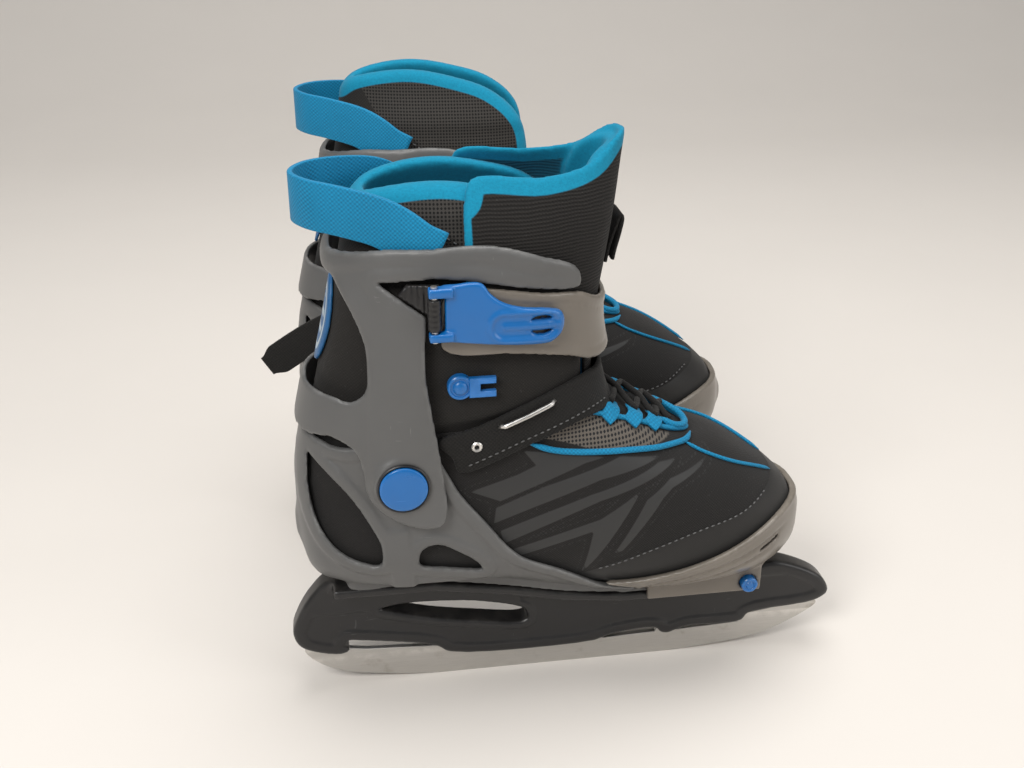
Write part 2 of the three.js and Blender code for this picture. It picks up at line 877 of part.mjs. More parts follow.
const pinSide = () => -(legSide(BUCKLE_PIN) + LEVER_INNER + PIN_RADIUS + 1.6);

function buckleBase() {
  const [x] = BUCKLE_PIN;
  const y = pinSide();
  const body = block(x - 5, x + 6, y - 3, y + 3, 216, 230);
  const tab = block(x + 3, x + 9, y - 1, y + 6, 218, 228);
  const bore = uprightPin(x, y, PIN_RADIUS + GAP, 200, 240);
  return body.add(tab).subtract(leg(STRAP_OUTER + GAP)).subtract(bore);
}

function bucklePin() {
  return uprightPin(BUCKLE_PIN[0], pinSide(), PIN_RADIUS, 210.5, 236);
}

const LEVER_OUTLINE = [
  [-50, 236],
  [-41, 236],
  [-37, 231],
  [-32, 227],
  [-24, 224],
  [-12, 222],
  [-6, 220],
  [-4, 216],
  [-5, 210],
  [-10, 206],
  [-18, 206],
  [-46, 209],
  [-50, 211],
];

function buckleLever() {
  const [x] = BUCKLE_PIN;
  const y = pinSide();
  const plateBody = legShell(LEVER_INNER, LEVER_OUTER).intersect(outerSide(LEVER_OUTLINE));
  const ear = (z0, z1) => block(x - 2.6, -48, y - 3.2, y + 2.4, z0, z1);
  const ears = ear(231, 235.5).add(ear(211, 215)).subtract(leg(LEVER_INNER));
  return plateBody.add(ears).subtract(uprightPin(x, y, PIN_RADIUS + GAP, 200, 240));
}

function buckleLadder() {
  const strip = outerSide([
    [-76, 229.3],
    [-63.4, 220.6],
    [-58, 220.6],
    [-58, 234.5],
    [-72, 234.3],
  ]);
  return legShell(TONGUE_WALL + GAP, STRAP_OUTER - 0.4).intersect(strip);
}

// ---- Assembly -----------------------------------------------------------------------------------
function piece(name, manifold, material) {
  const mesh = manifold.getMesh();
  const geometry = new THREE.BufferGeometry();
  geometry.setAttribute("position", new THREE.BufferAttribute(new Float32Array(mesh.vertProperties), 3));
  geometry.setIndex(new THREE.BufferAttribute(new Uint32Array(mesh.triVerts), 1));
  geometry.computeVertexNormals();
  const made = new THREE.Mesh(geometry, material());
  made.name = name;
  return made;
}

// Pieces that both skates share; each solid is cut once and used twice.
const SHARED = [
  ["blade", blade(), STEEL],
  ["blade_holder", bladeHolder(), BLACK_PLASTIC],
  ["holder_bolt_rear", holderBolt(HOLDER_BOLTS[0]), STEEL],
  ["holder_bolt_front", holderBolt(HOLDER_BOLTS[1]), STEEL],
  ["heel_frame", heelFrame(), DARK_GREY],
  ["pivot_cap_outer", pivotCap(-1), BLUE],
  ["pivot_cap_inner", pivotCap(1), BLUE],
  ["ankle_liner", ankleLiner(), BLACK_CLOTH],
  ["insole", insole(), FELT],
  ["strap_ring", strapRing(), STEEL],
  ["toe_shell", toeShell(), WARM_GREY],
  ["forefoot_upper", forefootUpper(), BLACK_CLOTH],
  ["size_button", sizeButton(), BLUE],
  ["button_spring", buttonSpring(), STEEL],
  ["lace_guide", laceGuide(), TEAL_WEBBING],
  ["lace", lace(), BLACK_CLOTH],
  ["cuff", cuff(), DARK_GREY],
  ["heel_badge", heelBadge(), BLUE],
  ["pull_loop", pullLoop(), TEAL_WEBBING],
  ["lace_hook", laceHook(), BLUE],
  ["buckle_ladder", buckleLadder(), BLACK_PLASTIC],
  ["strap_anchor", strapAnchor(), WARM_GREY],
  ["shin_strap", shinStrap(), WARM_GREY],
  ["buckle_base", buckleBase(), BLACK_PLASTIC],
  ["buckle_pin", bucklePin(), STEEL],
  ["buckle_lever", buckleLever(), BLUE],
];
const RIGHT_ONLY = [
  ["collar_liner", collarLiner(COLLAR_TOP), BLACK_CLOTH],
  ["instep_strap", instepStrap(), BLACK_CLOTH],
  ["tongue", tongue(TONGUE_TOP, TONGUE_RAKE), RIBBED_CLOTH],
  ["tongue_tab", tongueTab(), BLACK_CLOTH],
];
const LEFT_ONLY = [
  ["collar_liner", collarLiner(LEFT_COLLAR_TOP), BLACK_CLOTH],
  ["instep_strap", looseStrap(), BLACK_CLOTH],
  ["tongue", tongue(SLUMPED_TONGUE_TOP, TONGUE_RAKE / 2), RIBBED_CLOTH],
];

// The holder's two ends set the middle of the pair's box.
const holderEnds = HOLDER_OUTLINE.map(([x]) => x);
const MIDDLE = (Math.min(...holderEnds) + Math.max(...holderEnds)) / 2;

function skate(side, pieces) {
  const group = new THREE.Group();
  const sign = side === "right" ? -1 : 1;
  group.position.set((-sign * LEFT_BEHIND) / 2, (sign * SKATE_SPACING) / 2, 0);
  group.rotation.z = -sign * THREE.MathUtils.degToRad(TOE_IN);
  const mirror = new THREE.Group();
  mirror.position.x = -MIDDLE;
  mirror.scale.y = -sign;
  mirror.add(...pieces.map(([name, manifold, material]) => piece(`${side}_${name}`, manifold, material)));
  return group.add(mirror);
}

const pair = new THREE.Group();
pair.add(skate("right", [...SHARED, ...RIGHT_ONLY]), skate("left", [...SHARED, ...LEFT_ONLY]));

// The origin lies under the middle of the pair's box.
const middle = new THREE.Box3().setFromObject(pair, true).getCenter(new THREE.Vector3());
pair.position.set(-middle.x, -middle.y, 0);

export default pair;
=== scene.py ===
"""A pair of adjustable ice skates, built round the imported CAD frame.

Shapes are drawn once for the right skate, in millimetres, in the skate's own frame: X towards the toes, Z up and -Y
the outer side of the foot. The soft boot is a field of signed distance, and every shell, strap and liner is cut out
of layers of that field. The left skate is the mirror image, apart from its tongue, collar and instep strap.
"""

from __future__ import annotations

import logging
import math
from dataclasses import dataclass, field
from enum import Enum
from typing import Callable, Iterable, Sequence

import bpy
import numpy as np
import openvdb as vdb
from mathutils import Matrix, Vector
from mathutils.geometry import tessellate_polygon

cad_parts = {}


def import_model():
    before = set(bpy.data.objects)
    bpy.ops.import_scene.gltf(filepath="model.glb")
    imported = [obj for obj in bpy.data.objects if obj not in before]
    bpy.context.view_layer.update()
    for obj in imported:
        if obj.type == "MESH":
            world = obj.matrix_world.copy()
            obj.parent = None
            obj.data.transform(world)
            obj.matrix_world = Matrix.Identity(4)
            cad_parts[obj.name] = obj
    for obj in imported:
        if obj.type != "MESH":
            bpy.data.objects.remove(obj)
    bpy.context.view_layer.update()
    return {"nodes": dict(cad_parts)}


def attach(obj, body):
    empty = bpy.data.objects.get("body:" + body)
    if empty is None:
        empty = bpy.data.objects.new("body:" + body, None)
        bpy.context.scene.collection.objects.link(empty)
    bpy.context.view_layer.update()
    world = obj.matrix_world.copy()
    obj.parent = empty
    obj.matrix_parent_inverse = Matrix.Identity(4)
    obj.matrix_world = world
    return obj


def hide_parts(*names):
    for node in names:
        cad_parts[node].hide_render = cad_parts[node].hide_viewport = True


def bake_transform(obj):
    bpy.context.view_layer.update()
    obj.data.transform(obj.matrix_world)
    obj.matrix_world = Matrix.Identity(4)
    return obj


LOG = logging.getLogger("skates")
Point = Sequence[float]


# ---- Sizes, in millimetres ----
BALL_HALF_WIDTH = 45.0
LEG_HALF_WIDTH = 38.0
ROUNDNESS = 2.5
TOE_INSET = 4.0
HOLDER_MIDDLE = 8.5
SKATE_SPACING = 157.0
TOE_IN = math.radians(2.75)
ROW_SHIFT = 6.558
LEFT_BEHIND = 6.0
FRAME_LAYER = (0.4, 3.9)
CUFF_LAYER = (4.5, 7.9)
STRAP_LAYER = (4.5, 7.5)
STRAP_STEP = 4.0
LEVER_LAYER = (8.2, 12.6)
WEBBING = 2.4
PIVOT = (-77.0, 139.0)
BUTTON = (99.0, 54.6)
HOOK = (-50.0, 185.0)
BUCKLE_PIN = (-61.0, 223.0)
STRAP_BEND = -4.0
CORNER = 1
MILLIMETRES = 1000.0
FULL_TURN = 2 * math.pi
MARK_OFF = 9.0
MARK_DEEP = -20.0
MARK_SOFTNESS = 0.4

# Foot: station x, share of the ball's half width, underside, top.
FOOT = (
    (-124, 0.14, 92, 108), (-120, 0.4, 81, 118), (-108, 0.63, 74, 132), (-90, 0.76, 72.5, 140),
    (-60, 0.8, 72, 150), (-30, 0.84, 69, 160), (0, 0.91, 63, 166), (30, 0.99, 59.5, 157),
    (60, 1, 59, 141), (85, 0.92, 60, 131), (103, 0.75, 62, 119.5), (115, 0.53, 66, 110),
    (122, 0.33, 71, 102), (126, 0.12, 79, 92),
)
# Leg: height z, back x, front x, share of the ankle's half width.
LEG = (
    (80, -108, -12, 0.8), (97, -119, 6, 0.89), (122, -124, 21, 0.96), (152, -119, 24, 1),
    (182, -112, 18, 0.99), (207, -106, 14, 0.97), (230, -101, 17, 0.97), (249, -97, 20, 0.93),
    (262, -94, 22, 0.79), (276, -92, 24, 0.58), (300, -90, 27, 0.4),
)

HOLDER = (
    (-112, 67.5), (-62, 67.5), (-25, 61.5), (5, 55), (36, 51.4), (106, 51.4), (113, 54, CORNER), (122, 54),
    (144, 44), (150, 37), (151, 32), (144, 27), (107, 22.5), (104, 18.5), (75, 17.8), (67, 16), (63, 14.5),
    (59, 15.5), (56, 18.5), (34, 17.5), (27, 15.5), (22, 14), (-54, 15.5), (-62, 20.5), (-101, 28),
    (-106, 28.5), (-108, 26), (-106, 22.5), (-111, 20.5), (-130, 26.5), (-134, 35), (-132, 43), (-124, 57),
)
HOLDER_WINDOW = (
    (-90, 46.5, CORNER), (-77, 48.5), (-57, 48), (-37, 45.5), (-15, 38.5), (-13, 33, CORNER), (-17, 31.5),
    (-40, 34.5), (-64, 39),
)
SEAT = ((-112, 67.5), (-62, 67.5), (-25, 61.5), (5, 55), (36, 51.4), (106, 51.4))
BLADE = (
    (-129, 22), (-124, 15), (-111, 7.5), (-84, 2.2), (-60, 0, CORNER), (60, 0, CORNER), (84, 1.2), (118, 6.5),
    (143, 19), (147, 23), (144, 26), (120, 22), (106, 20, CORNER), (103, 15, CORNER), (68, 13.5, CORNER),
    (65, 19, CORNER), (60, 19, CORNER), (57, 13.5, CORNER), (28, 12.5, CORNER), (24, 18, CORNER),
    (-54, 20, CORNER), (-59, 17.5, CORNER), (-97, 19.5, CORNER), (-106, 21, CORNER), (-110, 25, CORNER),
    (-126, 27),
)
FRAME = (
    (37, 40, CORNER), (37, 65.4, CORNER), (20, 69), (8, 77), (-3, 83.5), (-22, 93), (-40, 116), (-51, 131),
    (-57, 143), (-64, 155), (-77, 159), (-92, 156), (-106, 154), (-118, 156), (-145, 158, CORNER),
    (-145, 40, CORNER),
)
FRAME_REAR_WINDOW = (
    (-119, 147, CORNER), (-110, 139), (-101, 129), (-92, 114), (-88, 103), (-89, 93), (-97, 94), (-109, 101),
    (-117, 114), (-120, 131),
)
FRAME_FRONT_WINDOW = (
    (-62, 104), (-69, 101), (-70, 92), (-57, 88.5), (-40, 85, CORNER), (-43, 91), (-51, 98),
)
SOLE_BLOCK = (
    (-104, 68), (-62, 68), (-25, 62), (5, 55.5), (37, 51.7, CORNER), (37, 60, CORNER), (5, 66), (-60, 74),
    (-104, 75),
)
TOE = (
    (37.3, 40, CORNER), (37.3, 66, CORNER), (19, 71.4, CORNER), (38, 75), (68, 84), (87, 91), (100, 96),
    (110, 99), (150, 103, CORNER), (150, 40, CORNER),
)
ANKLE = (
    (40, 30, CORNER), (40, 166, CORNER), (4, 170), (-40, 163), (-77, 160), (-150, 160, CORNER),
    (-150, 30, CORNER),
)
CUFF = (
    (-150, 157, CORNER), (-120, 158), (-107, 160), (-98, 155), (-95, 147), (-94, 136), (-90, 128), (-80, 120),
    (-67, 115.5), (-60, 117), (-57.5, 123), (-57.5, 132), (-60, 154), (-63, 175), (-65, 191), (-65, 205),
    (-64, 220, CORNER), (-84, 234.5, CORNER), (-58, 237), (-37, 234), (-13, 229.5), (4, 228), (4, 234),
    (0, 239), (-13, 244), (-30, 249.5), (-44, 251), (-60, 250), (-80, 249), (-98, 245), (-108, 242),
    (-150, 241, CORNER),
)
CUFF_BACK = (
    (-150, 233, CORNER), (-103, 233, CORNER), (-95, 218), (-91, 206), (-90.5, 194), (-92, 184), (-98, 179),
    (-108, 180), (-150, 181, CORNER),
)
STRAP_EAR = ((-66, 206, CORNER), (-5, 206), (-5, 236), (-86, 238, CORNER))
STRAP = (
    (-57.6, 233), (-37, 232), (-13, 227.7), (4, 225), (14, 219), (32, 211, CORNER), (32, 189, CORNER),
    (12, 190), (0, 195), (-16, 199), (-29, 201), (-57.6, 205),
)
LEVER = (
    (-56.6, 235.5, CORNER), (-41, 236), (-37, 231), (-32, 227), (-24, 224), (-12, 222), (-6, 220), (-4, 216),
    (-5, 210), (-10, 206), (-18, 206), (-46, 209), (-56.6, 210.5, CORNER),
)
INSTEP = (
    (-51, 141.5), (-17, 153), (8, 160), (26, 161, CORNER), (26, 180, CORNER), (8, 182), (-17, 175),
    (-42, 165), (-61, 158), (-54, 149),
)


class Side(Enum):
    """Which foot a skate is for."""

    RIGHT = "right"
    LEFT = "left"


@dataclass(frozen=True)
class Placement:
    """Where a skate stands in the row frame."""

    side: Side

    @property
    def mirrored(self) -> bool:
        """Whether the skate is the mirror image of the one that is drawn."""
        return self.side is Side.LEFT

    def to_row(self, points: np.ndarray) -> np.ndarray:
        """Moves points from the skate's own frame into the row frame.

        Args:
            points: N by 3 array in millimetres.

        Returns:
            N by 3 array in metres.
        """
        sign = 1.0 if self.mirrored else -1.0
        angle = -sign * TOE_IN
        x = points[:, 0] - HOLDER_MIDDLE
        y = -sign * points[:, 1]
        cos, sin = math.cos(angle), math.sin(angle)
        row = np.stack((x * cos - y * sin, x * sin + y * cos, points[:, 2]), axis=1)
        row += (-sign * LEFT_BEHIND / 2 + ROW_SHIFT, sign * SKATE_SPACING / 2, 0.0)
        return row / MILLIMETRES

    def name(self, piece: str) -> str:
        """The name of a piece, node or body of this skate."""
        return f"{self.side.value}_{piece}"


# ---- Curves and outlines ----
def cubic_table(rows: Sequence[Point]) -> Callable[[np.ndarray], np.ndarray]:
    """Makes a smooth function through a table.

    Args:
        rows: station and then values, with rising stations.

    Returns:
        A function from stations to an array with one row of values for each.
    """
    data = np.array(rows, float)
    t, v = data[:, 0], data[:, 1:]
    t_all = np.concatenate(([2 * t[0] - t[1]], t, [2 * t[-1] - t[-2]]))
    v_all = np.vstack((v[:1], v, v[-1:]))

    def evaluate(at: np.ndarray) -> np.ndarray:
        """Values at stations, held at the ends of the table."""
        at = np.clip(np.atleast_1d(at).astype(float), t[0], t[-1])
        i = np.clip(np.searchsorted(t, at, side="right") - 1, 0, len(t) - 2)
        t0, t1 = t[i], t[i + 1]
        half = (t1 - t0) / 2
        before, after = half / (t0 - t_all[i]), half / (t_all[i + 3] - t1)
        p = (at - t0) / (t1 - t0)
        p2, p3 = p * p, p * p * p
        weights = (
            -before * p3 + 2 * before * p2 - before * p,
            (1 + before) * p3 + (-1.5 - 2 * before) * p2 + (-0.5 + before) * p + 1,
            (-1 - after) * p3 + (1.5 + after) * p2 + 0.5 * p,
            after * p3 - after * p2,
        )
        return sum(w[:, None] * v_all[i + k] for k, w in enumerate(weights))

    return evaluate


FOOT_AT = cubic_table(FOOT)
LEG_AT = cubic_table(LEG)


def _between(p: np.ndarray, q: np.ndarray, start: float, end: float, t: np.ndarray) -> np.ndarray:
    """Point between p and q for a parameter that runs from start to end."""
    return ((end - t) * p + (t - start) * q) / (end - start)


def smooth_path(
    points: Sequence[Point], closed: bool, steps: int = 6, sharp: Sequence[bool] | None = None
) -> np.ndarray:
    """Rounds a polyline into a curve that passes through its points.

    Args:
        points: points of any dimension.
        closed: whether the path returns to its start.
        steps: samples between two points.
        sharp: for each point, whether the curve keeps a corner there.

    Returns:
        The samples, without a repeat of the first one.
    """
    pts = np.array(points, float)
    count = len(pts)
    sharp = sharp or [False] * count
    out = []
    for i in range(count if closed else count - 1):
        a, b = pts[i], pts[(i + 1) % count]
        ends = (not closed and i == 0, not closed and i == count - 2)
        before = 2 * a - b if sharp[i] or ends[0] else pts[i - 1]
        after = 2 * b - a if sharp[(i + 1) % count] or ends[1] else pts[(i + 2) % count]
        gaps = [max(float(np.linalg.norm(q - p)), 1e-6) ** 0.5 for p, q in ((before, a), (a, b), (b, after))]
        k0, k1, k2, k3 = np.cumsum([0.0, *gaps])
        t = np.linspace(k1, k2, steps, endpoint=False)[:, None]
        near = _between(before, a, k0, k1, t)
        middle = _between(a, b, k1, k2, t)
        far = _between(b, after, k2, k3, t)
        out.extend(_between(_between(near, middle, k0, k2, t), _between(middle, far, k1, k3, t), k1, k2, t))
    if not closed:
        out.append(pts[-1])
    return np.array(out)


def smooth_outline(points: Sequence[Point], steps: int = 6) -> np.ndarray:
    """Rounds a closed side-view outline of [x, z] points; a third value of CORNER keeps a point sharp."""
    return smooth_path([p[:2] for p in points], closed=True, steps=steps, sharp=[len(p) == 3 for p in points])


def outline_distance(points: Sequence[Point], x: np.ndarray, z: np.ndarray, steps: int = 6) -> np.ndarray:
    """Signed distance to a closed side-view outline, negative inside.

    Args:
        points: the outline's [x, z] points.
        x: positions along X, broadcastable with z.
        z: positions along Z.
        steps: samples between two points of the outline.

    Returns:
        The distance at each pair of positions.
    """
    path = smooth_outline(points, steps)
    x, z = np.broadcast_arrays(np.asarray(x, np.float32), np.asarray(z, np.float32))
    best = np.full(x.shape, 1e9, np.float32)
    inside = np.zeros(x.shape, bool)
    for (x0, z0), (x1, z1) in zip(path, np.roll(path, -1, axis=0)):
        ex, ez = x1 - x0, z1 - z0
        square = max(ex * ex + ez * ez, 1e-12)
        t = np.clip(((x - x0) * ex + (z - z0) * ez) / square, 0, 1)
        best = np.minimum(best, (x - x0 - t * ex) ** 2 + (z - z0 - t * ez) ** 2)
        if z0 != z1:
            inside ^= ((z0 > z) != (z1 > z)) & (x < ex * (z - z0) / ez + x0)
    distance = np.sqrt(best)
    return np.where(inside, -distance, distance)


# ---- Combining fields ----
def meet(a: np.ndarray, b: np.ndarray, radius: float = 0.0) -> np.ndarray:
    """Intersection of two solids, with a rounded edge of a radius."""
    if radius <= 0:
        return np.maximum(a, b)
    return np.minimum(np.maximum(a, b), -radius) + np.hypot(np.maximum(a + radius, 0), np.maximum(b + radius, 0))


def join(a: np.ndarray, b: np.ndarray, radius: float = 0.0) -> np.ndarray:
    """Union of two solids, with a fillet of a radius."""
    if radius <= 0:
        return np.minimum(a, b)
    return np.maximum(np.minimum(a, b), radius) - np.hypot(np.maximum(radius - a, 0), np.maximum(radius - b, 0))


def cut(a: np.ndarray, b: np.ndarray, radius: float = 0.0) -> np.ndarray:
    """The first solid less the second."""
    return meet(a, -b, radius)


def layer(distance: np.ndarray, low: np.ndarray | float, high: np.ndarray | float) -> np.ndarray:
    """The layer between two heights over the boot."""
    return np.maximum(distance - high, low - distance)


def ease(value: np.ndarray) -> np.ndarray:
    """Smooth step from 0 to 1."""
    t = np.clip(value, 0, 1)
    return t * t * (3 - 2 * t)


# ---- Meshes ----
@dataclass
class Shape:
    """A mesh in the skate's own frame, in millimetres."""

    points: np.ndarray
    quads: np.ndarray = field(default_factory=lambda: np.zeros((0, 4), int))
    triangles: np.ndarray = field(default_factory=lambda: np.zeros((0, 3), int))
    marks: dict[str, np.ndarray] = field(default_factory=dict)

    def __add__(self, other: "Shape") -> "Shape":
        """Both meshes as one."""
        shift = len(self.points)
        marks = {
            name: np.concatenate((self.marks[name], other.marks[name])) for name in self.marks if name in other.marks
        }
        return Shape(
            np.vstack((self.points, other.points)),
            np.vstack((self.quads, other.quads + shift)),
            np.vstack((self.triangles, other.triangles + shift)),
            marks,
        )

    def faced_out(self) -> "Shape":
        """The same mesh with every face outwards."""
        p = self.points
        volume = 0.0
        for faces in (self.triangles, self.quads[:, :3], self.quads[:, [0, 2, 3]]):
            if len(faces):
                a, b, c = (p[faces[:, k]] for k in range(3))
                volume += float(np.einsum("ij,ij->i", a, np.cross(b, c)).sum())
        if volume < 0:
            return Shape(p, self.quads[:, ::-1], self.triangles[:, ::-1], self.marks)
        return self

    def relaxed(self, passes: int) -> "Shape":
        """Evens out small facets by moving points towards their neighbours."""
        edges = [
            faces[:, [k, (k + 1) % size]] for faces, size in ((self.quads, 4), (self.triangles, 3)) for k in range(size)
        ]
        pairs = np.vstack(edges)
        if not len(pairs):
            return self
        points = self.points.copy()
        degree = np.bincount(pairs.ravel(), minlength=len(points)).astype(float)
        for _ in range(passes):
            total = np.stack(
                [
                    np.bincount(pairs[:, 0], points[pairs[:, 1], k], len(points))
                    + np.bincount(pairs[:, 1], points[pairs[:, 0], k], len(points))
                    for k in range(3)
                ],
                axis=1,
            )
            points += 0.5 * (total / np.maximum(degree, 1)[:, None] - points)
        return Shape(points, self.quads, self.triangles, self.marks)


def merged(shapes: Sequence[Shape]) -> Shape:
    """Several meshes as one."""
    whole = shapes[0]
    for shape in shapes[1:]:
        whole = whole + shape
    return whole


@dataclass(frozen=True)
class Lattice:
    """A regular lattice of sample points."""

    low: tuple[float, float, float]
    high: tuple[float, float, float]
    step: float

    @property
    def axes(self) -> tuple[np.ndarray, np.ndarray, np.ndarray]:
        """Sample positions along X, Y and Z."""
        return tuple(
            (lo + self.step * np.arange(int(math.ceil((hi - lo) / self.step)) + 1)).astype(np.float32)
            for lo, hi in zip(self.low, self.high)
        )

    @property
    def grids(self) -> tuple[np.ndarray, np.ndarray, np.ndarray]:
        """The same positions, shaped so that they broadcast."""
        x, y, z = self.axes
        return x[:, None, None], y[None, :, None], z[None, None, :]

    def surface(self, values: np.ndarray, passes: int = 2) -> Shape:
        """Meshes the zero level of a field that was sampled on this lattice.

        Args:
            values: field values, negative inside.
            passes: smoothing passes.

        Returns:
            The closed surface.
        """
        band = 3.0 * self.step
        grid = vdb.FloatGrid(band)
        padded = np.pad(np.clip(values, -band, band).astype(np.float32), 1, constant_values=band)
        grid.copyFromArray(padded)
        grid.transform = vdb.createLinearTransform(voxelSize=self.step)
        points, triangles, quads = grid.convertToPolygons(isovalue=0.0, adaptivity=0.0)
        points = points.astype(float) + np.array(self.low) - self.step
        return Shape(points, quads.astype(int), triangles.astype(int)).faced_out().relaxed(passes)


class BootForm:
    """The soft boot's form as a field of signed distance, in millimetres."""

    STEP = 1.25
    REACH = 22

    def __init__(self) -> None:
        self.lattice = Lattice((-152.5, -72.5, 37.5), (152.5, 72.5, 302.5), self.STEP)
        foot = self._level_set(self._foot_rings())
        leg = self._level_set(self._leg_rings())
        blend = 8.0
        overlap = np.maximum(blend - np.abs(foot - leg), 0) / blend
        values = np.minimum(foot, leg) - overlap**3 * blend / 6
        for axis in (0, 1, 2):
            values[1:-1, 1:-1, 1:-1] = 0.5 * values[1:-1, 1:-1, 1:-1] + 0.25 * (
                np.roll(values, 1, axis)[1:-1, 1:-1, 1:-1] + np.roll(values, -1, axis)[1:-1, 1:-1, 1:-1]
            )
        self.values = values

    @staticmethod
    def _ring(count: int = 96) -> tuple[np.ndarray, np.ndarray]:
        """A rounded square of half width 1, as its two coordinates."""
        angle = FULL_TURN * np.arange(count) / count
        power = 2 / ROUNDNESS
        cos, sin = np.cos(angle), np.sin(angle)
        return np.sign(cos) * np.abs(cos) ** power, np.sign(sin) * np.abs(sin) ** power

    def _foot_rings(self) -> np.ndarray:
        """Upright sections of the foot from heel to toe, with domes at both ends."""
        heel, toe = FOOT[0][0], FOOT[-1][0]
        share = (1 - np.cos(np.linspace(0, np.pi, 90))) / 2
        stations = heel + share * (toe - heel)
        rows = FOOT_AT(stations)
        across, up = self._ring()
        rings = []
        for x, (width, low, high) in zip(stations, rows):
            inset = TOE_INSET * float(ease(np.array((x - 20) / 100)))
            y = inset + width * BALL_HALF_WIDTH * across
            z = (low + high) / 2 + (high - low) / 2 * up
            rings.append(np.stack((np.full_like(y, x), y, z), axis=1))
        for ring, shift in ((rings[0], -1.2), (rings[-1], 1.2)):
            dome = ring.mean(0) + (ring - ring.mean(0)) * 0.55 + (shift, 0, 0)
            rings.insert(0, dome) if shift < 0 else rings.append(dome)
        return np.array(rings)

    def _leg_rings(self) -> np.ndarray:
        """Level sections of the leg from below the ankle to the top."""
        heights = np.linspace(LEG[0][0], LEG[-1][0], 90)
        along, across = self._ring()
        rings = []
        for z, (back, front, width) in zip(heights, LEG_AT(heights)):
            x = (back + front) / 2 + (front - back) / 2 * along
            rings.append(np.stack((x, width * LEG_HALF_WIDTH * across, np.full_like(x, z)), axis=1))
        return np.array(rings)

    def _level_set(self, rings: np.ndarray) -> np.ndarray:
        """Signed distance on the lattice to the solid that the rings enclose."""
        shape = loft(rings).faced_out()
        transform = vdb.createLinearTransform(voxelSize=self.STEP)
        origin = np.array(self.lattice.low)
        grid = vdb.FloatGrid.createLevelSetFromPolygons(
            (shape.points - origin).astype(np.float32),
            triangles=shape.triangles.astype(np.uint32),
            quads=shape.quads.astype(np.uint32),
            transform=transform,
            halfWidth=float(self.REACH),
        )
        values = np.zeros([len(axis) for axis in self.lattice.axes], np.float32)
        grid.copyToArray(values, ijk=(0, 0, 0))
        return values

    def on(self, lattice: Lattice) -> np.ndarray:
        """The distance at each point of a lattice."""
        values = self.values
        for axis, at in enumerate(lattice.axes):
            place = np.clip((at - self.lattice.low[axis]) / self.STEP, 0, values.shape[axis] - 1.001)
            index = place.astype(int)
            part = (place - index).astype(np.float32)
            shape = [1, 1, 1]
            shape[axis] = -1
            part = part.reshape(shape)
            values = np.take(values, index, axis) * (1 - part) + np.take(values, index + 1, axis) * part
        return values

    def at(self, points: np.ndarray) -> np.ndarray:
        """The distance at scattered points."""
        place = (np.asarray(points, float) - self.lattice.low) / self.STEP
        place = np.clip(place, 0, np.array(self.values.shape) - 1.001)
        index = place.astype(int)
        part = place - index
        total = np.zeros(len(place))
        for corner in np.ndindex(2, 2, 2):
            weight = np.prod(np.where(corner, part, 1 - part), axis=1)
            total += weight * self.values[tuple((index + corner).T)]
        return total

    def normal(self, points: np.ndarray) -> np.ndarray:
        """Unit vectors that point away from the boot."""
        steps = np.eye(3) * 1.5
        slope = np.stack([self.at(points + s) - self.at(points - s) for s in steps], axis=1)
        return slope / np.maximum(np.linalg.norm(slope, axis=1), 1e-9)[:, None]

    def drape(self, points: Sequence[Point], height: float | np.ndarray) -> np.ndarray:
        """Moves points onto the surface at a height over the boot, the same for all or one for each."""
        moved = np.array(points, float)
        for _ in range(12):
            moved -= (self.at(moved) - height)[:, None] * self.normal(moved)
        return moved

    def beside(self, x: float, z: float, side: float, height: float) -> float:
        """The y at which a line across the skate leaves the layer under a height.

        Args:
            x: position along the skate.
            z: height over the floor.
            side: -1 for the outer side, 1 for the inner side.
            height: height over the boot.

        Returns:
            The y of that place.
        """
        y = side * np.linspace(70, 0, 281)
        distances = self.at(np.stack((np.full_like(y, x), y, np.full_like(y, z)), axis=1))
        below = np.nonzero(distances < height)[0]
        return float(y[below[0]]) if len(below) else 0.0


def ring_quads(rows: int, count: int) -> np.ndarray:
    """Faces between closed rings that follow each other.

    Args:
        rows: number of rings.
        count: points in each ring.

    Returns:
        Four point numbers for each face.
    """
    first = np.arange(count)
    following = (first + 1) % count
    base = count * np.arange(rows - 1)[:, None]
    corners = (base + first, base + following, base + count + following, base + count + first)
    return np.stack(corners, axis=-1).reshape(-1, 4)


def loft(rings: np.ndarray) -> Shape:
    """Joins closed rings of equal size into a closed surface with a fan on each end."""
    rows, count = rings.shape[:2]
    first = np.arange(count)
    following = (first + 1) % count
    points = np.vstack((rings.reshape(-1, 3), rings[0].mean(0), rings[-1].mean(0)))
    last = (rows - 1) * count
    start = np.stack((np.full(count, rows * count), following, first), axis=1)
    end = np.stack((np.full(count, rows * count + 1), last + first, last + following), axis=1)
    return Shape(points, ring_quads(rows, count), np.vstack((start, end)))


def sweep(path: np.ndarray, out: np.ndarray, profile: np.ndarray, scale: np.ndarray | None = None) -> Shape:
    """Moves a closed profile along a path.

    Args:
        path: points along the middle.
        out: for each, the direction of the profile's second axis.
        profile: closed ring of [across, out] pairs.
        scale: share of the profile's size at each point.

    Returns:
        The closed solid.
    """
    tangent = np.gradient(path, axis=0)
    tangent /= np.linalg.norm(tangent, axis=1)[:, None]
    out = out - np.einsum("ij,ij->i", out, tangent)[:, None] * tangent
    out /= np.maximum(np.linalg.norm(out, axis=1), 1e-9)[:, None]
    across = np.cross(tangent, out)
    size = np.ones(len(path)) if scale is None else scale
    rings = path[:, None] + size[:, None, None] * (
        profile[None, :, :1] * across[:, None] + profile[None, :, 1:] * out[:, None]
    )
    return loft(rings).faced_out()


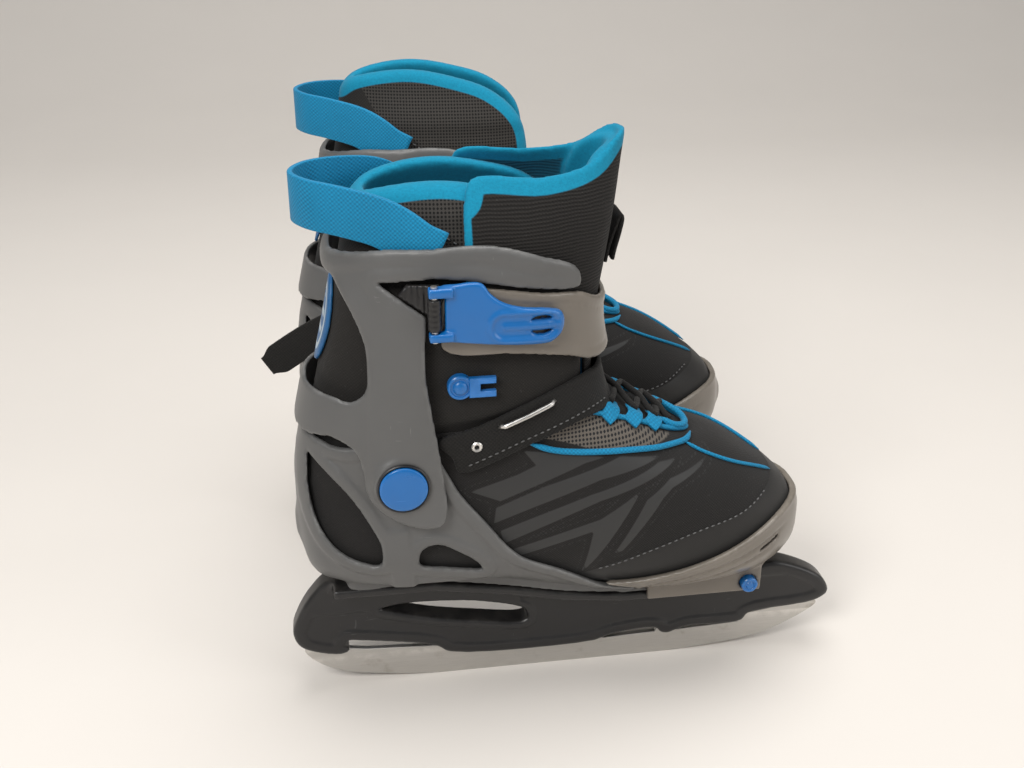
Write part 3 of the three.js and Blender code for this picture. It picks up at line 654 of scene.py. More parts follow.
def circle(radius: float, count: int = 12) -> np.ndarray:
    """A round profile."""
    angle = FULL_TURN * np.arange(count) / count
    return radius * np.stack((np.cos(angle), np.sin(angle)), axis=1)


def strip(width: float, thickness: float, rounding: float = 0.6) -> np.ndarray:
    """A flat profile with rounded corners."""
    r = min(rounding, thickness / 2 - 0.01)
    corners = []
    for sx, sy, start in ((1, 1, 0), (-1, 1, 90), (-1, -1, 180), (1, -1, 270)):
        for a in np.radians(start + np.linspace(0, 90, 4)):
            corners.append((sx * (width / 2 - r) + r * math.cos(a), sy * (thickness / 2 - r) + r * math.sin(a)))
    return np.array(corners)


def resample(path: np.ndarray, spacing: float) -> np.ndarray:
    """Points at an even spacing along a path."""
    lengths = np.concatenate(([0], np.cumsum(np.linalg.norm(np.diff(path, axis=0), axis=1))))
    at = np.linspace(0, lengths[-1], max(2, int(round(lengths[-1] / spacing)) + 1))
    return np.stack([np.interp(at, lengths, path[:, k]) for k in range(path.shape[1])], axis=1)


def even_curve(points: Sequence[Point], spacing: float, steps: int = 8) -> np.ndarray:
    """A smooth open path through points, at an even spacing."""
    return resample(smooth_path(points, closed=False, steps=steps), spacing)


def level_normal(line: np.ndarray) -> np.ndarray:
    """Level vectors to the left of a path."""
    ahead = np.gradient(line, axis=0)
    return np.stack((-ahead[:, 1], ahead[:, 0], 0 * ahead[:, 0]), axis=1)


def lathe(profile: Sequence[Point], centre: Point, axis_sign: float, count: int = 64) -> Shape:
    """Turns a profile about a line across the skate.

    Args:
        profile: [radius, distance along the line] pairs, from one end to the other.
        centre: [x, y, z] of the line's start.
        axis_sign: the line's direction along Y.
        count: faces round.

    Returns:
        The closed solid.
    """
    angle = FULL_TURN * np.arange(count) / count
    rings = []
    for radius, along in profile:
        ring = np.stack((radius * np.cos(angle), np.full(count, axis_sign * along), radius * np.sin(angle)), axis=1)
        rings.append(ring + centre)
    return loft(np.array(rings)).faced_out()


def slab(outline: np.ndarray, y0: float, y1: float, bevel: float) -> Shape:
    """A flat plate from a side-view outline, with bevelled edges.

    Args:
        outline: closed ring of [x, z] points.
        y0: lower face.
        y1: upper face.
        bevel: width of the bevel.

    Returns:
        The closed solid.
    """
    edge = np.roll(outline, -1, axis=0) - np.roll(outline, 1, axis=0)
    normal = np.stack((edge[:, 1], -edge[:, 0]), axis=1)
    normal /= np.maximum(np.linalg.norm(normal, axis=1), 1e-9)[:, None]
    area = np.sum(outline[:, 0] * np.roll(outline[:, 1], -1) - np.roll(outline[:, 0], -1) * outline[:, 1])
    inner = outline - normal * bevel * (1 if area > 0 else -1)
    rings = [(inner, y0), (outline, y0 + bevel), (outline, y1 - bevel), (inner, y1)]
    count = len(outline)
    points = np.vstack([np.stack((ring[:, 0], np.full(count, y), ring[:, 1]), axis=1) for ring, y in rings])
    quads = ring_quads(len(rings), count)
    caps = np.array(tessellate_polygon([[Vector((p[0], p[1], 0)) for p in inner]]))
    last = 3 * count
    a, b, c = caps[:, 0], caps[:, 1], caps[:, 2]
    turn = np.cross(inner[b] - inner[a], inner[c] - inner[a])
    caps = np.where((turn > 0)[:, None], caps, caps[:, ::-1])
    front, back = caps, caps[:, ::-1] + last
    shape = Shape(points, quads if area > 0 else quads[:, ::-1], np.vstack((front, back)))
    return shape.faced_out()


def linked(name: str, data: bpy.types.ID) -> bpy.types.Object:
    """A new object in the scene, for a mesh, a light or a camera."""
    made = bpy.data.objects.new(name, data)
    bpy.context.scene.collection.objects.link(made)
    return made


# ---- Node trees ----
class Graph:
    """Short ways to add nodes to a tree."""

    def __init__(self, tree: bpy.types.NodeTree) -> None:
        self.tree = tree

    def add(self, kind: str, inputs: dict | None = None, **settings: object) -> bpy.types.Node:
        """Adds a node.

        Args:
            kind: the node's type name.
            inputs: socket names or numbers with their values or the sockets that feed them.
            settings: the node's own settings.

        Returns:
            The node.
        """
        node = self.tree.nodes.new(kind)
        for key, value in settings.items():
            setattr(node, key, value)
        for key, value in (inputs or {}).items():
            self.feed(node.inputs[key], value)
        return node

    def feed(self, socket: bpy.types.NodeSocket, value: object) -> None:
        """Sets a socket, or links it to the socket given."""
        if isinstance(value, bpy.types.NodeSocket):
            self.tree.links.new(value, socket)
        else:
            socket.default_value = value

    def math(self, operation: str, *values: object, clamp: bool = False) -> bpy.types.NodeSocket:
        """A Math node's result."""
        node = self.add("ShaderNodeMath", operation=operation, use_clamp=clamp)
        for index, value in enumerate(values):
            self.feed(node.inputs[index], value)
        return node.outputs[0]

    def vector(self, operation: str, *values: object) -> bpy.types.NodeSocket:
        """A Vector Math node's vector result; a scale comes last for SCALE."""
        node = self.add("ShaderNodeVectorMath", operation=operation)
        for index, value in enumerate(values):
            self.feed(node.inputs["Scale"] if operation == "SCALE" and index == 1 else node.inputs[index], value)
        return node.outputs[0]

    def mix(self, factor: object, a: object, b: object, blend: str = "MIX") -> bpy.types.NodeSocket:
        """A mix of two colours."""
        node = self.add("ShaderNodeMix", data_type="RGBA", blend_type=blend)
        for index, value in ((0, factor), (6, a), (7, b)):
            if isinstance(value, tuple) and len(value) == 3:
                value = (*value, 1.0)
            self.feed(node.inputs[index], value)
        return node.outputs[2]

    def blend(self, factor: object, a: object, b: object) -> bpy.types.NodeSocket:
        """A mix of two numbers."""
        node = self.add("ShaderNodeMix", data_type="FLOAT")
        for index, value in ((0, factor), (2, a), (3, b)):
            self.feed(node.inputs[index], value)
        return node.outputs[0]

    def step(self, value: object, low: float, high: float) -> bpy.types.NodeSocket:
        """A smooth step from 0 at low to 1 at high; high may be the smaller one."""
        node = self.add("ShaderNodeMapRange", interpolation_type="SMOOTHSTEP")
        for index, number in enumerate((value, low, high, 0.0, 1.0)):
            self.feed(node.inputs[index], number)
        return node.outputs[0]

    def noise(self, vector: object, scale: float, detail: float = 3.0, rough: float = 0.5) -> bpy.types.NodeSocket:
        """A noise texture's value."""
        inputs = {"Vector": vector, "Scale": scale, "Detail": detail, "Roughness": rough}
        return self.add("ShaderNodeTexNoise", inputs).outputs[0]

    def mark(self, name: str) -> bpy.types.NodeSocket:
        """A mesh attribute's value."""
        return self.add("ShaderNodeAttribute", attribute_name=name).outputs["Fac"]

    def marked(self, name: str, softness: float = MARK_SOFTNESS) -> bpy.types.NodeSocket:
        """1 inside the region that a mark draws and 0 outside it, with a soft edge."""
        return self.step(self.mark(name), softness, -softness)

    def parts(self, vector: object) -> bpy.types.NodeOutputs:
        """The three numbers of a vector."""
        return self.add("ShaderNodeSeparateXYZ", {0: vector}).outputs

    def millimetres(self) -> bpy.types.NodeSocket:
        """Object coordinates in millimetres."""
        return self.vector("SCALE", self.add("ShaderNodeTexCoord").outputs["Object"], MILLIMETRES)


def _new_group(name: str, inputs: dict[str, object], outputs: Sequence[str]) -> tuple[Graph, dict, bpy.types.Node]:
    """Starts a shader node group.

    Args:
        name: the group's name.
        inputs: names with default values; a tuple makes a vector.
        outputs: names of the numbers it puts out.

    Returns:
        The group's graph, its inputs by name, and its output node.
    """
    tree = bpy.data.node_groups.new(name, "ShaderNodeTree")
    for key, value in inputs.items():
        kind = "NodeSocketVector" if isinstance(value, tuple) else "NodeSocketFloat"
        socket = tree.interface.new_socket(name=key, in_out="INPUT", socket_type=kind)
        socket.default_value = value
    for key in outputs:
        tree.interface.new_socket(name=key, in_out="OUTPUT", socket_type="NodeSocketFloat")
    graph = Graph(tree)
    entry = graph.add("NodeGroupInput")
    return graph, {key: entry.outputs[key] for key in inputs}, graph.add("NodeGroupOutput")


def weave_group() -> bpy.types.NodeTree:
    """Threads that cross over and under, on whichever sides a piece faces, and a factor for painted shade and highlight
    that follows their height.
    """
    graph, given, out = _new_group("weave", {"Vector": (0.0, 0.0, 0.0), "Pitch": 1.0}, ("Height", "PaintedShadeAndFuzz"))
    turn = graph.vector("SCALE", given["Vector"], graph.math("DIVIDE", math.pi, given["Pitch"]))
    parts = graph.parts(turn)
    waves = [graph.math("SINE", parts[k]) for k in range(3)]
    normal = graph.parts(graph.add("ShaderNodeTexCoord").outputs["Normal"])
    total: object = 0.0
    for facing, a, b in ((0, 1, 2), (1, 0, 2), (2, 0, 1)):
        weight = graph.math("POWER", normal[facing], 2.0)
        total = graph.math("MULTIPLY_ADD", graph.math("MULTIPLY", waves[a], waves[b]), weight, total)
    height = graph.math("MULTIPLY_ADD", total, 0.5, 0.5)
    graph.feed(out.inputs["Height"], height)
    # PaintedShadeAndFuzz is the weave's height varied by random fuzz: it paints shade where the weave is low and a
    # highlight where it is high.
    fuzz = graph.noise(given["Vector"], 1.3, 4.0, 0.7)
    graph.feed(out.inputs["PaintedShadeAndFuzz"], graph.math("MULTIPLY", height, graph.math("ADD", fuzz, 0.5)))
    return graph.tree


def moulding_group() -> bpy.types.NodeTree:
    """Grain, flow marks and fine scratches of a moulded piece."""
    graph, given, out = _new_group(
        "moulding", {"Vector": (0.0, 0.0, 0.0), "Grain": 1.0}, ("Height", "Tone", "Scratches")
    )
    fine = graph.vector("SCALE", given["Vector"], graph.math("DIVIDE", 1.0, given["Grain"]))
    graph.feed(out.inputs["Height"], graph.noise(fine, 1.4, 3.0, 0.6))
    graph.feed(out.inputs["Tone"], graph.noise(given["Vector"], 0.035, 3.0, 0.55))
    strokes: object = 0.0
    for stretch, threshold in (((0.08, 0.5, 1.4), 0.7), ((0.9, 0.5, 0.12), 0.72)):
        lines = graph.noise(graph.vector("MULTIPLY", given["Vector"], stretch), 1.0, 2.0, 0.45)
        strokes = graph.math("MAXIMUM", strokes, graph.step(lines, threshold, threshold + 0.03))
    worn = graph.step(graph.noise(given["Vector"], 0.05, 2.0), 0.5, 0.66)
    graph.feed(out.inputs["Scratches"], graph.math("MULTIPLY", strokes, worn))
    return graph.tree


def edge_group() -> bpy.types.NodeTree:
    """Wear along raised edges, and dust that settles on what faces up."""
    graph, given, out = _new_group("edges", {"Vector": (0.0, 0.0, 0.0)}, ("Wear", "Dust"))
    geometry = graph.add("ShaderNodeNewGeometry")
    patchy = graph.noise(given["Vector"], 0.12, 4.0, 0.6)
    edge = graph.step(geometry.outputs["Pointiness"], 0.508, 0.57)
    graph.feed(out.inputs["Wear"], graph.math("MULTIPLY", edge, graph.step(patchy, 0.35, 0.65)))
    up = graph.parts(geometry.outputs["Normal"])[2]
    settled = graph.math("MULTIPLY", graph.step(up, 0.1, 1.0), graph.step(patchy, 0.3, 0.75))
    graph.feed(out.inputs["Dust"], settled)
    return graph.tree


class Groups:
    """The shader node groups that several finishes share."""

    def __init__(self) -> None:
        self.weave = weave_group()
        self.moulding = moulding_group()
        self.edges = edge_group()


# ---- Finishes ----
Colour = tuple[float, float, float]
BLACK_CLOTH: Colour = (0.0095, 0.0088, 0.0085)
TEAL: Colour = (0.002, 0.20, 0.33)


def shade(colour: Colour, factor: float) -> Colour:
    """A colour made lighter or darker."""
    return tuple(min(1.0, channel * factor) for channel in colour)


@dataclass(frozen=True)
class Finish:
    """A procedural material and the record's slot that it stands for."""

    name: str
    slot: str
    colour: Colour
    roughness: float = 0.5

    def make(self, groups: Groups) -> bpy.types.Material:
        """Builds the material."""
        material = bpy.data.materials.new(self.name)
        material.use_nodes = True
        graph = Graph(material.node_tree)
        surface = material.node_tree.nodes["Principled BSDF"]
        self.dress(graph, surface, groups)
        return material

    def dress(self, graph: Graph, surface: bpy.types.Node, groups: Groups) -> None:
        """Adds the nodes of this kind of finish."""
        raise NotImplementedError

    @staticmethod
    def bump(graph: Graph, surface: bpy.types.Node, height: object, depth: float) -> None:
        """Feeds a height in millimetres of depth to the surface's normal."""
        inputs = {"Height": height, "Strength": 1.0, "Distance": depth / MILLIMETRES}
        graph.feed(surface.inputs["Normal"], graph.add("ShaderNodeBump", inputs).outputs[0])


@dataclass(frozen=True)
class Moulded(Finish):
    """Moulded plastic."""

    grain: float = 0.6
    depth: float = 0.02
    wear: float = 1.5
    coat: float = 0.0

    def dress(self, graph: Graph, surface: bpy.types.Node, groups: Groups) -> None:
        """Grain, flow marks, scratches, worn edges and a little dust."""
        place = graph.millimetres()
        grain = graph.add("ShaderNodeGroup", {"Vector": place, "Grain": self.grain}, node_tree=groups.moulding)
        edges = graph.add("ShaderNodeGroup", {"Vector": place}, node_tree=groups.edges)
        base = graph.mix(grain.outputs["Tone"], shade(self.colour, 0.86), shade(self.colour, 1.14))
        worn = graph.mix(
            graph.math("MULTIPLY", edges.outputs["Wear"], 0.55), base, tuple(0.03 + c * self.wear for c in self.colour)
        )
        scratched = graph.mix(
            graph.math("MULTIPLY", grain.outputs["Scratches"], 0.8), worn, tuple(0.05 + c * 1.3 for c in self.colour)
        )
        dusty = graph.mix(graph.math("MULTIPLY", edges.outputs["Dust"], 0.05), scratched, (0.5, 0.46, 0.4))
        graph.feed(surface.inputs["Base Color"], dusty)
        rough = graph.math("MULTIPLY_ADD", grain.outputs["Tone"], 0.18, self.roughness - 0.09)
        rough = graph.math("MULTIPLY_ADD", grain.outputs["Scratches"], 0.2, rough, clamp=True)
        graph.feed(surface.inputs["Roughness"], rough)
        surface.inputs["Coat Weight"].default_value = self.coat
        surface.inputs["Coat Roughness"].default_value = 0.2
        self.bump(graph, surface, grain.outputs["Height"], self.depth)


@dataclass(frozen=True)
class Steel(Finish):
    """Ground or drawn steel with fine lines along the skate."""

    lines: tuple[float, float, float] = (0.03, 2.0, 2.6)
    stain: float = 0.5

    def dress(self, graph: Graph, surface: bpy.types.Node, groups: Groups) -> None:
        """Grinding lines, dull patches and a few stains."""
        place = graph.millimetres()
        lines = graph.noise(graph.vector("MULTIPLY", place, self.lines), 1.0, 4.0, 0.6)
        patches = graph.noise(place, 0.06, 4.0, 0.6)
        base = graph.mix(lines, shade(self.colour, 0.8), shade(self.colour, 1.12))
        stained = graph.math("MULTIPLY", graph.step(patches, 0.55, 0.75), self.stain)
        edges = graph.add("ShaderNodeGroup", {"Vector": place}, node_tree=groups.edges)
        dull = graph.mix(stained, base, (0.22, 0.18, 0.14))
        graph.feed(surface.inputs["Base Color"], graph.mix(edges.outputs["Wear"], dull, (0.75, 0.73, 0.7)))
        surface.inputs["Metallic"].default_value = 1.0
        rough = graph.math("MULTIPLY_ADD", lines, 0.22, self.roughness - 0.11)
        graph.feed(surface.inputs["Roughness"], graph.math("MULTIPLY_ADD", patches, 0.15, rough, clamp=True))
        self.bump(graph, surface, lines, 0.02)


@dataclass(frozen=True)
class Woven(Finish):
    """Woven or knitted cloth."""

    pitch: float = 0.8
    depth: float = 0.12
    # How much lighter the thread crests are painted: a painted highlight.
    light: float = 1.7
    sheen: float = 0.06

    def cloth(self, graph: Graph, groups: Groups) -> tuple[bpy.types.NodeSocket, bpy.types.NodeSocket]:
        """The cloth's colour, with painted shade in the weave's hollows and a painted highlight on its crests, and its
        height.
        """
        place = graph.millimetres()
        weave = graph.add("ShaderNodeGroup", {"Vector": place, "Pitch": self.pitch}, node_tree=groups.weave)
        # Painted shade and highlight: threads are darker where the weave is low and lighter where it is high.
        shaded_threads = graph.mix(weave.outputs["PaintedShadeAndFuzz"], shade(self.colour, 0.55), shade(self.colour, self.light))
        worn = graph.noise(place, 0.045, 4.0, 0.6)
        lint = graph.step(graph.noise(place, 0.9, 2.0, 0.7), 0.69, 0.75)
        tone = graph.mix(graph.math("MULTIPLY", worn, 0.35), shaded_threads, shade(self.colour, 1.9))
        speckled = graph.mix(graph.math("MULTIPLY", lint, 0.12), tone, (0.3, 0.3, 0.3))
        return speckled, weave.outputs["Height"]

    def dress(self, graph: Graph, surface: bpy.types.Node, groups: Groups) -> None:
        """Weave with painted shade and highlight, fuzz and worn patches."""
        colour, height = self.cloth(graph, groups)
        self.finish_cloth(graph, surface, colour, height, self.roughness)

    @staticmethod
    def lined(
        graph: Graph, place: object, lining: Colour, colour: object, height: object
    ) -> tuple[bpy.types.NodeSocket, bpy.types.NodeSocket]:
        """Colour and height with the terry lining laid over them where it is marked."""
        terry = graph.noise(place, 0.9, 4.0, 0.75)
        # One noise gives the terry both its height and its colour: darker where the loops sit low and lighter where
        # high, partly random tone and partly painted shade and highlight.
        teal = graph.mix(terry, shade(lining, 0.62), shade(lining, 1.45))
        inside = graph.marked("lining")
        return graph.mix(inside, colour, teal), graph.blend(inside, height, terry)

    def finish_cloth(
        self, graph: Graph, surface: bpy.types.Node, colour: object, height: object, roughness: object
    ) -> None:
        """Feeds colour, height and roughness to the surface, with the cloth's sheen."""
        graph.feed(surface.inputs["Base Color"], colour)
        graph.feed(surface.inputs["Roughness"], roughness)
        surface.inputs["Sheen Weight"].default_value = self.sheen
        surface.inputs["Sheen Roughness"].default_value = 0.45
        surface.inputs["Specular IOR Level"].default_value = 0.3
        self.bump(graph, surface, height, self.depth)


@dataclass(frozen=True)
class PrintedUpper(Woven):
    """The forefoot's cloth: smooth overlays, a grey print and an open mesh panel."""

    ink: Colour = (0.035, 0.035, 0.035)
    net: Colour = (0.115, 0.10, 0.085)

    def dress(self, graph: Graph, surface: bpy.types.Node, groups: Groups) -> None:
        """Cloth, print, overlay and mesh by their marks."""
        cloth, height = self.cloth(graph, groups)
        place = graph.millimetres()
        ink = graph.marked("print", 0.35)
        printed = graph.mix(graph.math("MULTIPLY", ink, 0.93), cloth, self.ink)
        dots = graph.parts(graph.vector("SCALE", place, FULL_TURN / 2.3))
        dotted = graph.math("MULTIPLY", graph.math("SINE", dots[0]), graph.math("SINE", dots[2]))
        line = graph.step(graph.math("ABSOLUTE", graph.math("SUBTRACT", graph.mark("print"), 2.6)), 0.5, 0.2)
        beads = graph.math("MULTIPLY", line, graph.step(dotted, 0.0, 0.3))
        printed = graph.mix(graph.math("MULTIPLY", beads, 0.45), printed, self.ink)
        overlay = graph.marked("overlay")
        toned = graph.mix(graph.math("MULTIPLY", overlay, 0.6), printed, (0.017, 0.0165, 0.016))
        holes = self.holes(graph, place, 1.75)
        net = graph.mix(holes, self.net, (0.012, 0.012, 0.013))
        panel = graph.marked("mesh")
        colour = graph.mix(panel, toned, net)
        rough = graph.blend(graph.math("MAXIMUM", ink, overlay), self.roughness, 0.55)
        sunk = graph.blend(panel, height, graph.math("SUBTRACT", 1.0, holes))
        smooth = graph.blend(graph.math("MAXIMUM", ink, overlay), sunk, graph.math("MULTIPLY_ADD", sunk, 0.25, 0.7))
        self.finish_cloth(graph, surface, colour, smooth, rough)

    @staticmethod
    def holes(graph: Graph, place: object, pitch: float) -> bpy.types.NodeSocket:
        """Round holes on a slanted grid in the side view, 1 in a hole."""
        axes = graph.parts(graph.vector("SCALE", place, FULL_TURN / pitch))
        waves = graph.math("ADD", graph.math("COSINE", axes[0]), graph.math("COSINE", axes[2]))
        return graph.step(waves, 0.15, 0.7)


@dataclass(frozen=True)
class CollarCloth(PrintedUpper):
    """The padded collar: black cloth, a perforated panel and a teal lining that turns over the rim."""

    lining: Colour = TEAL

    def dress(self, graph: Graph, surface: bpy.types.Node, groups: Groups) -> None:
        """Cloth, perforated panel and lining by their marks."""
        cloth, height = self.cloth(graph, groups)
        place = graph.millimetres()
        holes = self.holes(graph, place, 1.6)
        near = graph.marked("panel")
        net = graph.mix(holes, shade(self.colour, 3.4), shade(self.colour, 0.4))
        paneled = graph.mix(near, cloth, net)
        relief = graph.blend(near, height, graph.math("SUBTRACT", 1.0, holes))
        colour, relief = self.lined(graph, place, self.lining, paneled, relief)
        self.finish_cloth(graph, surface, colour, relief, self.roughness)


@dataclass(frozen=True)
class TongueCloth(Woven):
    """The tongue: fine ribs across it, a teal lining and rim."""

    rib: float = 1.55
    lining: Colour = TEAL

    def dress(self, graph: Graph, surface: bpy.types.Node, groups: Groups) -> None:
        """Ribs with painted shade in their troughs, and lining by its mark."""
        cloth, height = self.cloth(graph, groups)
        place = graph.millimetres()
        up = graph.parts(place)[2]
        wobble = graph.math("MULTIPLY", graph.noise(place, 0.05, 2.0), 3.0)
        wave = graph.math("SINE", graph.math("MULTIPLY", graph.math("ADD", up, wobble), FULL_TURN / self.rib))
        rib = graph.math("MULTIPLY_ADD", wave, 0.5, 0.5)
        # Painted shade: the cloth is darker in the troughs between the ribs, where the rib wave is low.
        ribbed = graph.mix(rib, shade(self.colour, 0.45), cloth)
        ribs = graph.math("MULTIPLY_ADD", rib, 2.2, height)
        colour, relief = self.lined(graph, place, self.lining, ribbed, ribs)
        self.finish_cloth(graph, surface, colour, relief, self.roughness)


@dataclass(frozen=True)
class Badge(Finish):
    """The heel patch: blue with pale oval rings and bars."""

    pale: Colour = (0.42, 0.5, 0.55)

    def dress(self, graph: Graph, surface: bpy.types.Node, groups: Groups) -> None:
        """Rings by the patch's own oval distance, bars by height."""
        oval = graph.mark("oval")
        ring = graph.math(
            "MULTIPLY", graph.step(oval, -5.2, -4.8), graph.math("SUBTRACT", 1.0, graph.step(oval, -3.4, -3.0))
        )
        place = graph.millimetres()
        up = graph.parts(place)[2]
        wave = graph.math("SINE", graph.math("MULTIPLY", up, FULL_TURN / 8.0))
        bars = graph.math("MULTIPLY", graph.step(wave, 0.2, 0.35), graph.step(oval, -6.2, -6.6))
        tone = graph.noise(place, 0.2, 3.0)
        base = graph.mix(tone, shade(self.colour, 0.8), shade(self.colour, 1.25))
        graph.feed(surface.inputs["Base Color"], graph.mix(graph.math("MAXIMUM", ring, bars), base, self.pale))
        surface.inputs["Roughness"].default_value = self.roughness
        self.bump(graph, surface, graph.math("ADD", graph.noise(place, 2.0, 3.0), ring), 0.15)


@dataclass(frozen=True)
class Ground(Finish):
    """The pale floor."""

    def dress(self, graph: Graph, surface: bpy.types.Node, groups: Groups) -> None:
        """A faint unevenness."""
        tone = graph.noise(graph.millimetres(), 0.01, 3.0)
        graph.feed(surface.inputs["Base Color"], graph.mix(tone, shade(self.colour, 0.97), self.colour))
        surface.inputs["Roughness"].default_value = self.roughness


BLADE_STEEL = Steel("blade_steel", "steel", (0.56, 0.545, 0.52), 0.38)
SMALL_STEEL = Steel("small_steel", "bolt_steel", (0.62, 0.61, 0.59), 0.28, (1.2, 1.2, 1.2), 0.15)
BLACK_PLASTIC = Moulded("black_plastic", "black_plastic", (0.009, 0.0085, 0.009), 0.36, 0.5, 0.012, 2.5)
DARK_GREY = Moulded("dark_grey_plastic", "dark_grey_plastic", (0.098, 0.098, 0.097), 0.40, 0.55, 0.02, 1.8)
WARM_GREY = Moulded("warm_grey_plastic", "warm_grey_plastic", (0.155, 0.135, 0.112), 0.34, 0.6, 0.012, 1.5, 0.15)
BLUE = Moulded("blue_plastic", "blue_plastic", (0.001, 0.125, 0.40), 0.3, 0.6, 0.01, 1.4, 0.25)
UPPER_CLOTH = PrintedUpper("upper_cloth", "black_fabric", BLACK_CLOTH, 0.85, 0.7, 0.1)
COLLAR_CLOTH = CollarCloth("collar_cloth", "black_fabric", (0.0115, 0.0105, 0.0095), 0.9, 0.75, 0.12)
RIBBED = TongueCloth("ribbed_cloth", "ribbed_fabric", (0.013, 0.0115, 0.0105), 0.9, 0.75, 0.10)
BLACK_WEBBING = Woven("black_webbing", "black_webbing", (0.0075, 0.007, 0.0065), 0.85, 0.95, 0.16)
TEAL_WEBBING = Woven("teal_webbing", "blue_webbing", (0.002, 0.16, 0.31), 0.7, 0.95, 0.14, 1.5)
PATCH = Badge("heel_patch", "badge", (0.01, 0.10, 0.26), 0.45)
FELT = Woven("insole_felt", "felt", (0.05, 0.055, 0.06), 0.95, 1.1, 0.1)
FLOOR = Ground("pale_floor", "", (0.74, 0.70, 0.655), 0.8)
STEEL_NODES = ("holder_bolt_rear", "holder_bolt_front", "button_spring", "buckle_pin")
FINISH_OF_NODE = {**dict.fromkeys(STEEL_NODES, SMALL_STEEL), "insole": FELT}


# ---- Pieces ----
@dataclass(frozen=True)
class Between:
    """Two bodies and a stretch between them; a piece set with these is baked where it stands and follows neither body.
    """

    first: str
    second: str
    start: tuple[float, float, float]
    end: tuple[float, float, float]


class Bench:
    """Makes finished pieces out of shapes and sets them on the frame."""

    def __init__(self) -> None:
        self.groups = Groups()
        self.materials: dict[str, bpy.types.Material] = {}
        self.count = 0

    def material(self, finish: Finish) -> bpy.types.Material:
        """The finish's material, built once."""
        if finish.name not in self.materials:
            self.materials[finish.name] = finish.make(self.groups)
        return self.materials[finish.name]

    def mesh(self, name: str, shape: Shape, placement: Placement) -> bpy.types.Object:
        """Makes an object in the row frame from a shape in the skate's frame."""
        quads, triangles = shape.quads, shape.triangles
        if placement.mirrored:
            quads, triangles = quads[:, ::-1], triangles[:, ::-1]
        data = bpy.data.meshes.new(name)
        data.vertices.add(len(shape.points))
        data.vertices.foreach_set("co", placement.to_row(shape.points).astype(np.float32).ravel())
        data.loops.add(quads.size + triangles.size)
        data.loops.foreach_set("vertex_index", np.concatenate((quads.ravel(), triangles.ravel())).astype(np.int32))
        sizes = np.concatenate((np.full(len(quads), 4), np.full(len(triangles), 3)))
        data.polygons.add(len(sizes))
        data.polygons.foreach_set("loop_start", (np.cumsum(sizes) - sizes).astype(np.int32))
        data.update(calc_edges=True)
        data.validate()
        data.shade_smooth()
        for key, values in shape.marks.items():
            attribute = data.attributes.new(key, "FLOAT", "POINT")
            attribute.data.foreach_set("value", np.asarray(values, np.float32))
        return linked(name, data)

    def put(
        self,
        placement: Placement,
        piece: str,
        shape: Shape,
        finish: Finish,
        body: str | Between,
        stands_for: Sequence[str] = (),
        sharp: float | None = None,
    ) -> bpy.types.Object:
        """Adds a piece to a skate.

        Args:
            placement: the skate.
            piece: the piece's name without its side.
            shape: its mesh.
            finish: its material.
            body: the body it rides on, or two bodies and a stretch, with which it is baked in place and rides on
                neither.
            stands_for: CAD nodes that it replaces.
            sharp: angle in degrees past which an edge is drawn sharp.

        Returns:
            The finished object.
        """
        made = self.mesh(placement.name(piece), shape, placement)
        if sharp is not None:
            made.data.set_sharp_from_angle(angle=math.radians(sharp))
        self.settle(made, placement, finish, body, stands_for)
        return made

    def settle(
        self,
        made: bpy.types.Object,
        placement: Placement,
        finish: Finish,
        body: str | Between,
        stands_for: Sequence[str] = (),
    ) -> None:
        """Gives an object its material and its body, or bakes it in place when given two bodies, and hides the nodes it
        replaces.
        """
        if not made.data.materials:
            made.data.materials.append(self.material(finish))
        if isinstance(body, Between):
            ends = placement.to_row(np.array([body.start, body.end], float))
            placement.name(body.first)
            placement.name(body.second)
            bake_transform(made)
        else:
            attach(made, placement.name(body))
        if stands_for:
            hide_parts(*(placement.name(node) for node in stands_for))
        self.count += 1
        LOG.info("%s: %d faces", made.name, len(made.data.polygons))


